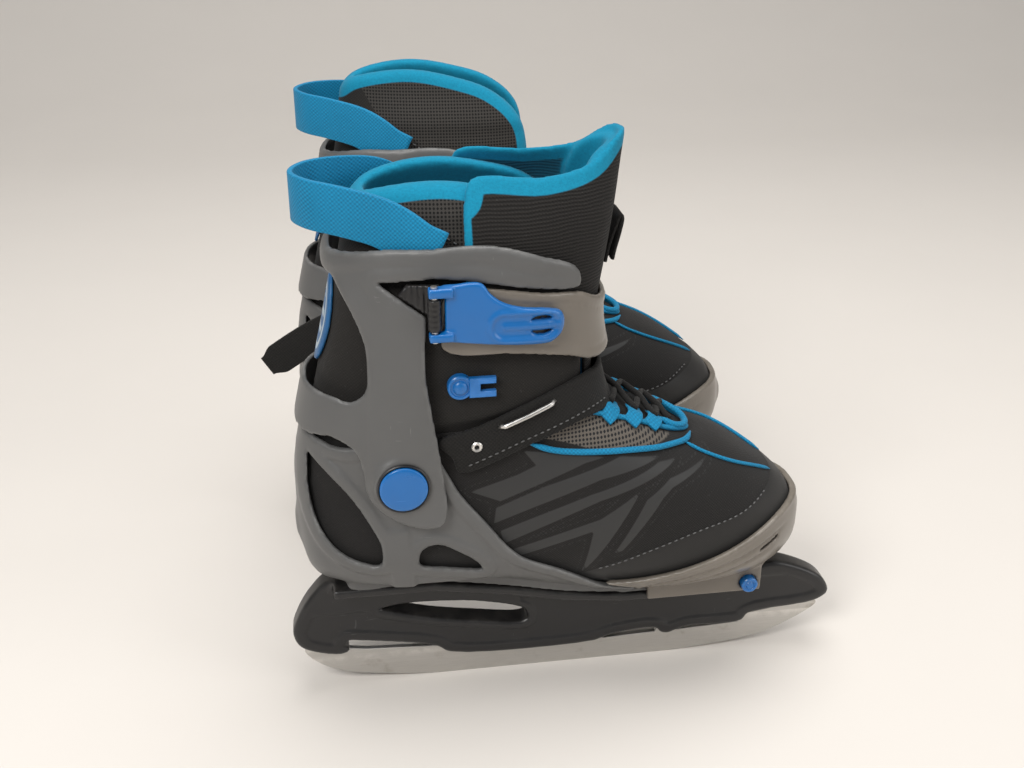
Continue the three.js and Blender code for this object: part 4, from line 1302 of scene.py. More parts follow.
# ---- Repeats by Geometry Nodes ----
class StitchRow:
    """Stitches at an even spacing along a path."""

    def __init__(self) -> None:
        self.tree = bpy.data.node_groups.new("stitch_row", "GeometryNodeTree")
        face = self.tree.interface
        face.new_socket(name="Geometry", in_out="INPUT", socket_type="NodeSocketGeometry")
        for name, value in (("Spacing", 0.0032), ("Length", 0.0022), ("Thickness", 0.0008)):
            face.new_socket(name=name, in_out="INPUT", socket_type="NodeSocketFloat").default_value = value
        face.new_socket(name="Thread", in_out="INPUT", socket_type="NodeSocketMaterial")
        face.new_socket(name="Geometry", in_out="OUTPUT", socket_type="NodeSocketGeometry")
        graph = Graph(self.tree)
        given = graph.add("NodeGroupInput").outputs
        curve = graph.add("GeometryNodeMeshToCurve", {0: given["Geometry"]})
        points = graph.add("GeometryNodeCurveToPoints", {"Curve": curve.outputs[0]}, mode="LENGTH")
        graph.feed(points.inputs["Length"], given["Spacing"])
        bead = graph.add("GeometryNodeMeshIcoSphere", {"Radius": 0.5, "Subdivisions": 1})
        size = graph.add("ShaderNodeCombineXYZ", {0: given["Thickness"], 1: given["Thickness"], 2: given["Length"]})
        placed = graph.add(
            "GeometryNodeInstanceOnPoints",
            {
                "Points": points.outputs["Points"],
                "Instance": bead.outputs["Mesh"],
                "Rotation": points.outputs["Rotation"],
                "Scale": size.outputs[0],
            },
        )
        real = graph.add("GeometryNodeRealizeInstances", {0: placed.outputs[0]})
        threaded = graph.add("GeometryNodeSetMaterial", {"Geometry": real.outputs[0], "Material": given["Thread"]})
        graph.feed(graph.add("NodeGroupOutput").inputs[0], threaded.outputs[0])

    def sew(
        self, bench: Bench, placement: Placement, piece: str, paths: Sequence[np.ndarray], finish: Finish
    ) -> bpy.types.Object:
        """Sews rows of stitches along paths.

        Args:
            bench: makes the objects.
            placement: the skate.
            piece: the piece's name without its side.
            paths: points in the skate's frame, in millimetres.
            finish: the thread's finish.

        Returns:
            The stitches as a plain mesh, not yet set on a body.
        """
        data = bpy.data.meshes.new(placement.name(piece) + "_path")
        points = placement.to_row(np.vstack(paths))
        edges, start = [], 0
        for path in paths:
            edges += [(start + k, start + k + 1) for k in range(len(path) - 1)]
            start += len(path)
        data.from_pydata(points.tolist(), edges, [])
        source = linked(data.name, data)
        modifier = source.modifiers.new("stitches", "NODES")
        modifier.node_group = self.tree
        named = {item.name: item.identifier for item in self.tree.interface.items_tree if item.in_out == "INPUT"}
        modifier[named["Thread"]] = bench.material(finish)
        evaluated = source.evaluated_get(bpy.context.evaluated_depsgraph_get())
        plain = bpy.data.meshes.new_from_object(evaluated)
        plain.materials.clear()
        plain.materials.append(bench.material(finish))
        plain.polygons.foreach_set("material_index", np.zeros(len(plain.polygons), np.int32))
        plain.shade_smooth()
        made = linked(placement.name(piece), plain)
        bpy.data.objects.remove(source)
        return made


# ---- Sub-assemblies ----
THREAD = Woven("thread", "black_webbing", (0.09, 0.09, 0.09), 0.7, 0.6, 0.05)
CUFF_BEND = {"start": (-50.0, 0.0, 158.0), "end": (-50.0, 0.0, 186.0)}


@dataclass
class Assembly:
    """Part of a skate that is drawn once and set on both."""

    form: BootForm
    bench: Bench
    stitches: StitchRow

    def sample(self, low: Point, high: Point, step: float) -> tuple[Lattice, np.ndarray, tuple]:
        """A lattice with the boot's distance on it and its coordinates."""
        lattice = Lattice(tuple(low), tuple(high), step)
        return lattice, self.form.on(lattice), lattice.grids

    def sew(
        self, placement: Placement, piece: str, paths: Sequence[Sequence[Point]], height: float, body: str | Between,
        finish: Finish = THREAD,
    ) -> None:
        """Sews rows of stitches over the boot at a height."""
        rows = []
        for path in paths:
            line = even_curve(path, 2.0)
            rows.append(self.form.drape(line, height))
        made = self.stitches.sew(self.bench, placement, piece, rows, finish)
        self.bench.settle(made, placement, finish, body)

    def cord_on(self, path: Sequence[Point], radius: float, height: float, spacing: float = 1.6) -> Shape:
        """A round cord that lies on the boot."""
        line = self.form.drape(even_curve(path, spacing), height)
        share = np.linspace(0, 1, len(line))
        taper = 0.35 + 0.65 * np.minimum(ease(share * 12), ease((1 - share) * 12))
        return sweep(line, self.form.normal(line), circle(radius, 10), taper)


@dataclass
class Undercarriage(Assembly):
    """Blade and holder."""

    web: float = 6.5
    flange: float = 18.0
    flange_thickness: float = 5.0
    blade_thickness: float = 3.0
    rim: float = 6.5
    window_rim: float = 4.5
    hollow_depth: float = 1.0
    hollow_top: float = 46.0

    def holder(self) -> Shape:
        """The holder: web with its window, and the flange under the boot."""
        lattice, _, (x, y, z) = self.sample((-136, -20, 12), (153, 20, 70), 0.9)
        edge = outline_distance(HOLDER, x, z)
        window = outline_distance(HOLDER_WINDOW, x, z)
        side = np.abs(y)
        body = meet(edge, side - self.web, 2.2)
        hollow = meet(np.maximum(edge + self.rim, self.window_rim - window), self.web - self.hollow_depth - side, 0.6)
        body = cut(body, np.maximum(hollow, z - self.hollow_top), 0.6)
        seat = [(px, pz) for px, pz in SEAT]
        under = [(px, pz - self.flange_thickness) for px, pz in reversed(seat)]
        flange = outline_distance([(*p, CORNER) for p in (*seat, *under)], x, z, 1)
        body = join(body, meet(flange, side - self.flange, 1.4), 5.0)
        body = np.maximum(body, edge)
        return lattice.surface(cut(body, window, 2.0))

    def blade(self) -> Shape:
        """The blade, a flat runner with its rocker."""
        half = self.blade_thickness / 2
        return slab(smooth_outline(BLADE, 5), -half, half, 0.25)

    def build(self, placements: Iterable[Placement]) -> None:
        """Sets holder and blade on each skate."""
        holder, blade = self.holder(), self.blade()
        for placement in placements:
            self.bench.put(placement, "holder_moulding", holder, BLACK_PLASTIC, "chassis", ["blade_holder"])
            self.bench.put(placement, "ground_blade", blade, BLADE_STEEL, "chassis", ["blade"], sharp=30)


@dataclass
class HeelFrame(Assembly):
    """Hard shell round the heel, with its rail and the caps of its pivots."""

    rim: float = 5.5
    step_in: float = 1.3
    shaft: float = 5.0
    rail_half_width: float = 18.0

    def shell(self) -> Shape:
        """The shell with raised rims, its sole block and the rail for the toe."""
        lattice, boot, (x, y, z) = self.sample((-132, -52, 50), (104, 52, 162), 1.2)
        low, high = FRAME_LAYER
        edge = outline_distance(FRAME, x, z)
        rear = outline_distance(FRAME_REAR_WINDOW, x, z)
        front = outline_distance(FRAME_FRONT_WINDOW, x, z)
        rib = np.abs(x + 78.0 + (z - 80.0) * 0.08) - 4.0
        near = np.minimum(np.minimum(-edge, np.minimum(rear, front)), np.maximum(rib, z - 112.0) + self.rim - 1.0)
        top = high - self.step_in * ease((near - self.rim) / 1.3)
        wall = meet(layer(boot, low, top), edge, 1.1)
        wall = cut(cut(wall, rear, 1.1), front, 1.1)
        side_edge = np.abs(y) - self.rail_half_width
        block = meet(outline_distance(SOLE_BLOCK, x, z), side_edge, 1.2)
        rail = meet(np.maximum(np.abs(x - 67.0) - 34.0, np.abs(z - 53.2) - 1.5), side_edge, 0.5)
        body = join(join(wall, block, 2.5), rail, 0.8)
        body = np.maximum(body, low - boot)
        hole = np.hypot(x - PIVOT[0], z - PIVOT[1]) - self.shaft - 0.3
        return lattice.surface(cut(body, hole + 0 * y))

    def cap(self, sign: float) -> tuple[Shape, Shape]:
        """A pivot's domed cap with its shaft, and the dark ring it lies in."""
        side = abs(self.form.beside(*PIVOT, sign, 0.0))
        face = side + CUFF_LAYER[1] + 1.5
        centre = (PIVOT[0], 0.0, PIVOT[1])
        dome = [(self.shaft, side + 0.7), (self.shaft, face), (10.4, face), (10.9, face + 0.4), (10.9, face + 1.5)]
        dome += [(10.5, face + 1.9), (9.6, face + 2.15), (7.0, face + 2.4), (3.5, face + 2.5), (0.6, face + 2.55)]
        ring = [(12.3, face), (12.3, face + 0.9), (11.9, face + 1.2), (11.35, face + 1.0), (11.1, face + 0.1)]
        ring += [(11.1, face)]
        return lathe(dome, centre, sign), lathe(ring, centre, sign)

    def build(self, placements: Iterable[Placement]) -> None:
        """Sets the shell and both caps on each skate."""
        shell = self.shell()
        caps = {"outer": self.cap(-1), "inner": self.cap(1)}
        for placement in placements:
            self.bench.put(placement, "heel_shell", shell, DARK_GREY, "chassis", ["heel_frame"])
            for where, (dome, ring) in caps.items():
                node = f"pivot_cap_{where}"
                self.bench.put(placement, f"pivot_dome_{where}", dome, BLUE, "chassis", [node], sharp=50)
                self.bench.put(placement, f"pivot_ring_{where}", ring, BLACK_PLASTIC, "chassis", sharp=50)


@dataclass
class SlidingToe(Assembly):
    """Toe shell with its runners and the button that locks it."""

    runner_inner: float = 18.6
    runner_outer: float = 22.1
    bore: float = 4.5
    slide_room: float = 7.5
    lattice_step: float = 0.95
    groove_depth: float = 0.95

    def shell(self) -> Shape:
        """The cup with grooves along it, and its runners."""
        low_corner, high_corner = (15, -53, 47), (134, 53, 107)
        lattice, boot, (x, y, z) = self.sample(low_corner, high_corner, self.lattice_step)
        low, high = FRAME_LAYER
        edge = outline_distance(TOE, x, z)
        side = np.abs(y)
        groove = np.zeros(np.broadcast_shapes(edge.shape, side.shape), np.float32)
        for offset, end in ((7.5, 118.0), (13.5, 112.0), (19.5, 92.0)):
            line = np.abs(edge + offset + 0.035 * (x - 60.0))
            fade = ease((x - 34.0) / 14.0) * ease((end - x) / 12.0)
            groove = np.maximum(groove, self.groove_depth * ease((1.3 - line) / 0.8) * fade)
        lip = 0.5 * ease((2.6 + edge) / 1.2)
        cup = meet(layer(boot, low, high - groove + lip - 0.5), edge, 0.9)
        slot = np.maximum(np.abs(z - 84.5 - (x - 104) * 0.35) - 1.0, np.abs(x - 104) - 5.5)
        cup = cut(cup, np.maximum(slot, y + 5.0), 0.4)
        runner = np.maximum(np.abs(side - (self.runner_inner + self.runner_outer) / 2) - 1.75, np.abs(x - 76) - 30)
        runner = meet(runner, np.abs(z - 57.65) - 8.35, 0.6)
        body = np.maximum(join(cup, runner, 2.0), low - boot)
        floor = np.maximum(np.maximum(side - self.runner_inner, z - 55.0), np.abs(x - 81.0) - 49.0)
        body = cut(body, floor, 0.3)
        body = cut(body, np.maximum(np.hypot(x - BUTTON[0], z - BUTTON[1]) - self.bore, y), 0.3)
        low_ahead, high_ahead = ((at[0] + self.slide_room, *at[1:]) for at in (low_corner, high_corner))
        moved = Lattice(low_ahead, high_ahead, self.lattice_step)
        ahead = self.form.on(moved)[: body.shape[0], : body.shape[1], : body.shape[2]]
        return lattice.surface(cut(body, np.maximum(ahead - low, x - 22.0)))

    def button(self) -> Shape:
        """The press button: a cap with a ring round its middle."""
        face = self.runner_outer + 3.0
        rings = [(0.3, face - 2.0), (2.8, face - 2.0), (2.8, 20.9), (4.2, 20.9), (4.2, face - 0.4), (3.8, face)]
        rings += [(2.9, face), (2.6, face - 0.4), (2.0, face - 0.4)]
        return lathe([*rings, (1.6, face), (0.3, face + 0.05)], (BUTTON[0], 0.0, BUTTON[1]), -1.0, 32)

    def build(self, placements: Iterable[Placement]) -> None:
        """Sets the toe's shell and its button on each skate."""
        shell, button = self.shell(), self.button()
        for placement in placements:
            self.bench.put(placement, "toe_cup", shell, WARM_GREY, "toe", ["toe_shell"])
            self.bench.put(placement, "press_button", button, BLUE, "button", ["size_button"], sharp=40)


UPPER = (
    (150, 30, CORNER), (150, 166, CORNER), (40, 167), (4, 170), (-40, 163), (-77, 160), (-150, 160, CORNER),
    (-150, 30, CORNER),
)
NET_PANEL = ((-12, 154), (-3, 164), (6, 166), (18, 158), (38, 150), (54, 142), (41, 143), (16, 145))
STRIPES = (
    ((-21, 149), (-5, 145.5), (18, 143), (8, 141), (-13, 132), (-32, 124), (-46, 130), (-24, 137), (-15, 141)),
    ((-34, 120.5), (-11, 130.5), (25, 142.5), (45, 139), (15, 133), (-35, 112)),
    ((-32, 107.5), (10, 125.5), (44, 137), (54, 136), (15, 122.5), (-30, 100)),
    ((-26, 96), (15, 112.5), (34, 126.5), (8, 78.5), (12, 106), (-24, 91)),
    ((71, 132), (49, 129.5), (37, 121.5), (22.5, 93), (26, 94), (45, 121.5), (50, 125.5), (66, 130)),
)
TOE_OVERLAY = ((106, 112), (86, 106), (64, 102), (40, 94), (17, 83), (-10, 60), (150, 30), (150, 116))


@dataclass
class SoftBoot(Assembly):
    """Forefoot and ankle in one, with its piping, lace loops and laces."""

    wall: float = 2.2
    relief: float = 0.35

    @property
    def body(self) -> Between:
        """Chassis and toe, with the stretch where the upper meets the toe; the upper is baked in place and does not
        follow the toe.
        """
        return Between("chassis", "toe", (20.0, 0.0, 110.0), (40.0, 0.0, 110.0))

    def upper(self) -> Shape:
        """The fabric shell with its marks."""
        lattice, boot, (x, _, z) = self.sample((-127, -48, 55), (129, 52, 172), 1.45)
        raised = np.minimum(self._print(x, z), self._overlay(x, z))
        top = -self.relief * ease((raised + 0.5) / 1.2)
        shape = lattice.surface(meet(layer(boot, -self.wall, top), outline_distance(UPPER, x, z), 0.9))
        px, pz = shape.points[:, 0], shape.points[:, 2]
        outside = np.where(self.form.at(shape.points) < -1.4, MARK_OFF, 0.0)
        shape.marks["print"] = self._print(px, pz) + outside
        shape.marks["overlay"] = self._overlay(px, pz) + outside
        shape.marks["mesh"] = outline_distance(self._sharp(NET_PANEL), px, pz) + outside
        return shape

    @staticmethod
    def _sharp(points: Sequence[Point]) -> list[tuple[float, float, int]]:
        """The same outline with every point sharp."""
        return [(*p[:2], CORNER) for p in points]

    def _print(self, x: np.ndarray, z: np.ndarray) -> np.ndarray:
        """Distance to the printed stripes."""
        return np.minimum.reduce([outline_distance(self._sharp(stripe), x, z, 1) for stripe in STRIPES])

    def _overlay(self, x: np.ndarray, z: np.ndarray) -> np.ndarray:
        """Distance to the smooth overlays at the toe."""
        return outline_distance(TOE_OVERLAY, x, z)

    def piping(self) -> Shape:
        """Teal cords along the mesh panel and towards the toe, on both sides."""
        panel = [(-19, -36, 153), (-3, -33, 146), (16, -34, 144), (41, -31, 142), (54, -24, 140)]
        panel += [(62, -17, 138), (66, -10, 138)]
        line = [(60, -19, 138), (70, -22, 133), (84, -21, 125), (108, -9, 112)]
        throat = [(2, -26, 165), (22, -22, 156), (42, -18, 148), (56, -13, 142), (65, -6, 139), (66, 0, 139)]
        cords = []
        for path, radius, height in ((panel, 1.5, 0.8), (line, 0.9, 0.4), (throat, 1.3, 0.9)):
            for side in (1, -1):
                cords.append(self.cord_on([(x, side * y, z) for x, y, z in path], radius, height))
        return merged(cords)

    def loops(self) -> Shape:
        """Webbing loops beside the throat that hold the laces."""
        bands = []
        for x, y, lean in ((24, 17, 0.2), (38, 16, 0.25), (52, 13, 0.35)):
            for side in (-1, 1):
                ends = [(x - 3, side * (y + 11), 160), (x, side * (y + 6), 160), (x + 3 * lean, side * y, 160)]
                ends += [(x + 5 * lean, side * (y - 5), 160)]
                line = even_curve(ends, 1.2)
                lift = 1.0 + 1.7 * np.sin(np.pi * np.linspace(0, 1, len(line))) ** 2
                line = self.form.drape(line, lift)
                bands.append(sweep(line, self.form.normal(line), strip(8.0, 1.3)))
        return merged(bands)

    def laces(self) -> Shape:
        """The lace, crossed over the tongue and through the loops."""
        height = 3.0
        rows = [(22, 10), (38, 10), (52, 9), (63, 6)]
        cords = []
        for (xa, ya), (xb, yb) in zip(rows, rows[1:]):
            for side in (-1, 1):
                ends = [(xa, side * (ya + 6), 160), (xa + 3, side * ya, 160), ((xa + xb) / 2, 0, 160)]
                ends += [(xb - 3, -side * yb, 160), (xb, -side * (yb + 5), 160)]
                line = even_curve(ends, 1.3)
                over = height + side * 0.9 * np.exp(-((line[:, 1] / 6.0) ** 2))
                line = self.form.drape(line, over)
                cords.append(sweep(line, self.form.normal(line), circle(1.6, 10)))
        return merged(cords)

    def cord_loop(self) -> Shape:
        """The teal cord loop at the front of the throat."""
        ends = [(50, -12, 150), (60, -13, 150), (67, -8, 150), (69, 0, 150), (67, 8, 150), (60, 13, 150), (50, 12, 150)]
        return self.cord_on(ends, 1.7, 2.3)

    def build(self, placements: Iterable[Placement]) -> None:
        """Sets the soft boot's pieces on each skate."""
        upper, piping, loops, laces, cord = self.upper(), self.piping(), self.loops(), self.laces(), self.cord_loop()
        seam = [(100, -25, 110), (86, -35, 106), (64, -42, 102), (40, -42, 94), (17, -38, 83)]
        rows = [seam, [(x, -y, z) for x, y, z in seam]]
        for placement in placements:
            put = self.bench.put
            put(placement, "boot_upper", upper, UPPER_CLOTH, self.body, ["ankle_liner", "forefoot_upper"])
            put(placement, "piping", piping, TEAL_WEBBING, self.body)
            put(placement, "lace_loops", loops, TEAL_WEBBING, "toe", ["lace_guide"])
            put(placement, "crossed_laces", laces, BLACK_WEBBING, "toe", ["lace"])
            put(placement, "cord_loop", cord, TEAL_WEBBING, "toe")
            self.sew(placement, "toe_seam", rows, 0.15, self.body)


COLLAR_PANEL = ((-86, 300), (-70, 262), (-34, 236), (-10, 246), (4, 250), (-10, 300))


def collar_outline(top: float) -> list[tuple]:
    """The collar's side view, down to where the ankle hides it."""
    return [
        (8, 172, CORNER), (8, top - 34), (2, top - 21), (-12, top - 10), (-30, top - 4), (-52, top), (-70, top - 1),
        (-86, top - 5), (-98, top - 12), (-150, top - 16, CORNER), (-150, 152, CORNER), (8, 152, CORNER),
    ]


@dataclass(frozen=True)
class TopFit:
    """How collar and tongue sit on one skate."""

    collar_top: float
    tongue_top: float
    tongue_rake: float
    seam_top: float
    seam_height: float


TOP_FITS = {
    Side.RIGHT: TopFit(273.0, 289.0, 14.0, 262.0, 0.2),
    Side.LEFT: TopFit(287.0, 232.0, 7.0, 272.0, 0.9),
}


@dataclass
class Collar(Assembly):
    """Padded collar and tongue."""

    thickness: float = 7.0
    puff: float = 1.6
    tongue_wall: float = 3.8
    rim_width: float = 6.5
    binding: float = 2.6
    rim_height: float = 254.0
    tongue_low: float = 207.0

    def collar(self, top: float) -> Shape:
        """The padded collar: thin where the ankle covers it, full above."""
        lattice, boot, (x, _, z) = self.sample((-126, -46, 150), (12, 46, top + 3), 1.4)
        region = outline_distance(collar_outline(top), x, z)
        above = outline_distance(ANKLE, x, z)
        high = -2.6 + 2.6 * ease((above - 1.0) / 5.0) + self.puff * ease((z - self.rim_height) / 8.0)
        shape = lattice.surface(meet(layer(boot, -self.thickness, high), region, 3.2))
        points = shape.points
        rim = outline_distance(collar_outline(top), points[:, 0], points[:, 2])
        rim = np.where(points[:, 2] < top - 60, MARK_DEEP, rim)
        shape.marks["lining"] = -np.maximum(rim + 5.5, -4.4 - self.form.at(points))
        shape.marks["panel"] = outline_distance(COLLAR_PANEL, points[:, 0], points[:, 2])
        return shape

    def tongue(self, top: float, rake: float) -> Shape:
        """The tongue: wraps round the collar's front, upright or slid down."""
        lattice, boot, (x, _, z) = self.sample((-50, -46, 156), (36, 46, top + 4), 1.3)
        low = self.tongue_low
        wrap = ((-46, low, CORNER), (-46, top - 1.6 * rake), (-42, top - rake), (-10, top - 1.05 * rake))
        wrap += ((12, top - 0.75 * rake), (27, top), (60, top, CORNER), (60, low, CORNER))
        wrapped = meet(layer(boot, 0.5, self.tongue_wall), outline_distance(wrap, x, z), 1.4)
        behind = ((9.5, low - 5, CORNER), (9.5, top - 0.75 * rake - 3), (26, top - 3), (60, top - 1, CORNER))
        behind += ((60, low - 5, CORNER),)
        inner = meet(layer(boot, -4.0, 1.0), outline_distance(behind, x, z), 1.4)
        foot = ((9.5, 158, CORNER), (9.5, low, CORNER), (60, low, CORNER), (60, 158, CORNER))
        lower = meet(layer(boot, -5.2, -2.7 + 2.2 * ease((z - 176.0) / 10.0)), outline_distance(foot, x, z), 0.8)
        shape = lattice.surface(join(join(wrapped, inner, 1.0), lower, 2.0))
        points = shape.points
        longer = [(-90, low, CORNER), (-90, top - 1.6 * rake, CORNER), *wrap[1:]]
        rim = outline_distance(longer, points[:, 0], points[:, 2]) + self.rim_width
        rim = np.where(points[:, 2] > top - 45, rim, MARK_DEEP)
        rim = np.maximum(rim, -46.0 + self.binding - points[:, 0])
        inside = np.where(points[:, 2] > low, 0.4, -3.8) - self.form.at(points)
        shape.marks["lining"] = -np.maximum(rim, inside)
        return shape

    def tab(self) -> Shape:
        """The black pull tab on the tongue's front."""
        front = self.form.drape([(24, 0, 228)], self.tongue_wall + 0.6)[0]
        path = [front, front + (1.6, 0, 8), front + (4.5, 0, 17), front + (6.4, 0, 22), front + (7.4, 0, 21)]
        path += [front + (6.6, 0, 15), front + (4.4, 0, 6), front + (3.4, 0, 1)]
        line = even_curve(path, 1.2)
        ahead = np.gradient(line, axis=0)
        return sweep(line, np.stack((ahead[:, 2], 0 * ahead[:, 0], -ahead[:, 0]), axis=1), strip(17.0, 1.6))

    def build(self, placements: Iterable[Placement]) -> None:
        """Sets collar and tongue on each skate: upright on the right, slid down on the left."""
        bend = Between("chassis", "cuff", **CUFF_BEND)
        for placement in placements:
            fit = TOP_FITS[placement.side]
            collar = self.collar(fit.collar_top)
            tongue = self.tongue(fit.tongue_top, fit.tongue_rake)
            padded = self.bench.put(placement, "collar", collar, COLLAR_CLOTH, bend, ["collar_liner"])
            flap = self.bench.put(placement, "tongue_flap", tongue, RIBBED, bend, ["tongue"])
            if placement.side is Side.RIGHT:
                self.bench.put(placement, "tongue_pull", self.tab(), BLACK_WEBBING, "cuff", ["tongue_tab"])
            seam = [(-74, fit.seam_top), (-56, 254), (-34, 238)]
            rows = [[(x, side * 36, z) for x, z in seam] for side in (-1, 1)]
            self.sew(placement, "collar_seam", rows, fit.seam_height, "cuff")


@dataclass
class Cuff(Assembly):
    """Hinged cuff with its heel patch, pull loop, hook and ladder."""

    boss: float = 13.3
    badge_width: float = 13.0
    badge_height: float = 21.0
    badge_middle: float = 207.0

    def shell(self) -> Shape:
        """The cuff with its raised column and the seats of its pivots."""
        lattice, boot, (x, y, z) = self.sample((-126, -52, 112), (8, 52, 254), 1.2)
        low, high = CUFF_LAYER
        edge = outline_distance(CUFF, x, z)
        back = outline_distance(CUFF_BACK, x, z)
        ridge = x + 91.0 - 0.04 * (z - 150.0)
        lowered = 1.0 * ease(-ridge / 2.0) * ease((205.0 - z) / 20.0)
        rim = 0.7 * ease((-edge - 5.0) / 2.5) * ease((z - 225.0) / 8.0)
        wall = meet(layer(boot, low, high - lowered - rim), edge, 0.9)
        ear = meet(layer(boot, low, high), outline_distance(STRAP_EAR, x, z), 1.0)
        wall = join(wall, np.maximum(ear, -y), 0.5)
        wall = cut(wall, back, 1.2)
        face = abs(self.form.beside(*PIVOT, -1, 0.0)) + high + 1.2
        radius = np.hypot(x - PIVOT[0], z - PIVOT[1])
        side = np.abs(y)
        seat = meet(radius - self.boss, np.maximum(side - face, face - 3.6 - side), 1.0)
        body = np.maximum(join(wall, seat, 3.0), low - boot)
        body = np.maximum(body, side - face)
        return lattice.surface(cut(body, radius - 5.3 + 0 * y))

    def badge(self) -> Shape:
        """The oval patch at the back of the collar."""
        lattice, boot, (_, y, z) = self.sample((-118, -16, 182), (-84, 16, 232), 0.8)
        oval = self._oval(y, z)
        shape = lattice.surface(meet(layer(boot, 0.4, 2.4), oval, 0.7))
        shape.marks["oval"] = self._oval(shape.points[:, 1], shape.points[:, 2])
        return shape

    def _oval(self, y: np.ndarray, z: np.ndarray) -> np.ndarray:
        """Distance to the patch's edge as seen from behind."""
        return (np.hypot(y / self.badge_width, (z - self.badge_middle) / self.badge_height) - 1) * self.badge_width

    def pull_loop(self) -> Shape:
        """The webbing loop sewn to both sides of the collar."""
        sewn = []
        for x, z, slack in ((-58, 246, 0.8), (-66, 250, 1.0), (-74, 256, 1.6), (-82, 260, 3.4)):
            sewn.append((x, abs(self.form.beside(x, z - 11, 1, 0.0)) + 1.6 + slack, z))
        half = [*sewn, (-98, 24, 263), (-112, 14, 264)]
        path = [*half, (-118, 0, 264), *[(x, -y, z) for x, y, z in reversed(half)]]
        line = even_curve(path, 2.0)
        return sweep(line, -level_normal(line), strip(22.0, WEBBING))

    def hook(self) -> Shape:
        """The lace hook: a disc and a fork."""
        x, z = HOOK
        seat = abs(self.form.beside(x, z, -1, 0.0)) + 0.3
        disc = [(5.7, seat - 1.5), (5.7, seat + 3.0), (5.3, seat + 3.4), (4.5, seat + 3.4), (4.2, seat + 2.9)]
        disc += [(3.4, seat + 2.9), (3.1, seat + 3.6), (2.2, seat + 4.2), (0.4, seat + 4.4)]
        prongs = [(x + 4, z - 5), (x + 16, z - 5), (x + 16, z - 2), (x + 9, z - 2), (x + 9, z + 1.5)]
        prongs += [(x + 16, z + 1.5), (x + 16, z + 4.5), (x + 4, z + 4.5)]
        fork = slab(np.array(prongs, float), -seat - 3.8, -seat - 0.8, 0.4)
        return lathe(disc, (x, 0.0, z), -1.0, 40) + fork

    def ladder(self) -> Shape:
        """The ladder strip under the buckle."""
        lattice, boot, (x, y, z) = self.sample((-78, -50, 218), (-55, -30, 237), 0.7)
        outline = ((-76, 229.3), (-63.4, 220.6), (-58, 220.6), (-58, 234.5), (-72, 234.3))
        edge = outline_distance([(*p, CORNER) for p in outline], x, z, 1)
        teeth = 0.7 * (0.5 + 0.5 * np.sin(FULL_TURN * x / 2.6))
        return lattice.surface(np.maximum(meet(layer(boot, 4.1, 7.0 - teeth), edge, 0.3), y))

    def build(self, placements: Iterable[Placement]) -> None:
        """Sets the cuff and what it carries on each skate."""
        shell, badge, loop, hook, ladder = self.shell(), self.badge(), self.pull_loop(), self.hook(), self.ladder()
        for placement in placements:
            put = self.bench.put
            put(placement, "cuff_shell", shell, DARK_GREY, "cuff", ["cuff"])
            put(placement, "oval_patch", badge, PATCH, "cuff", ["heel_badge"])
            put(placement, "webbing_loop", loop, TEAL_WEBBING, "cuff", ["pull_loop"])
            put(placement, "hook", hook, BLUE, "cuff", ["lace_hook"], sharp=40)
            put(placement, "toothed_ladder", ladder, BLACK_PLASTIC, "cuff", ["buckle_ladder"])


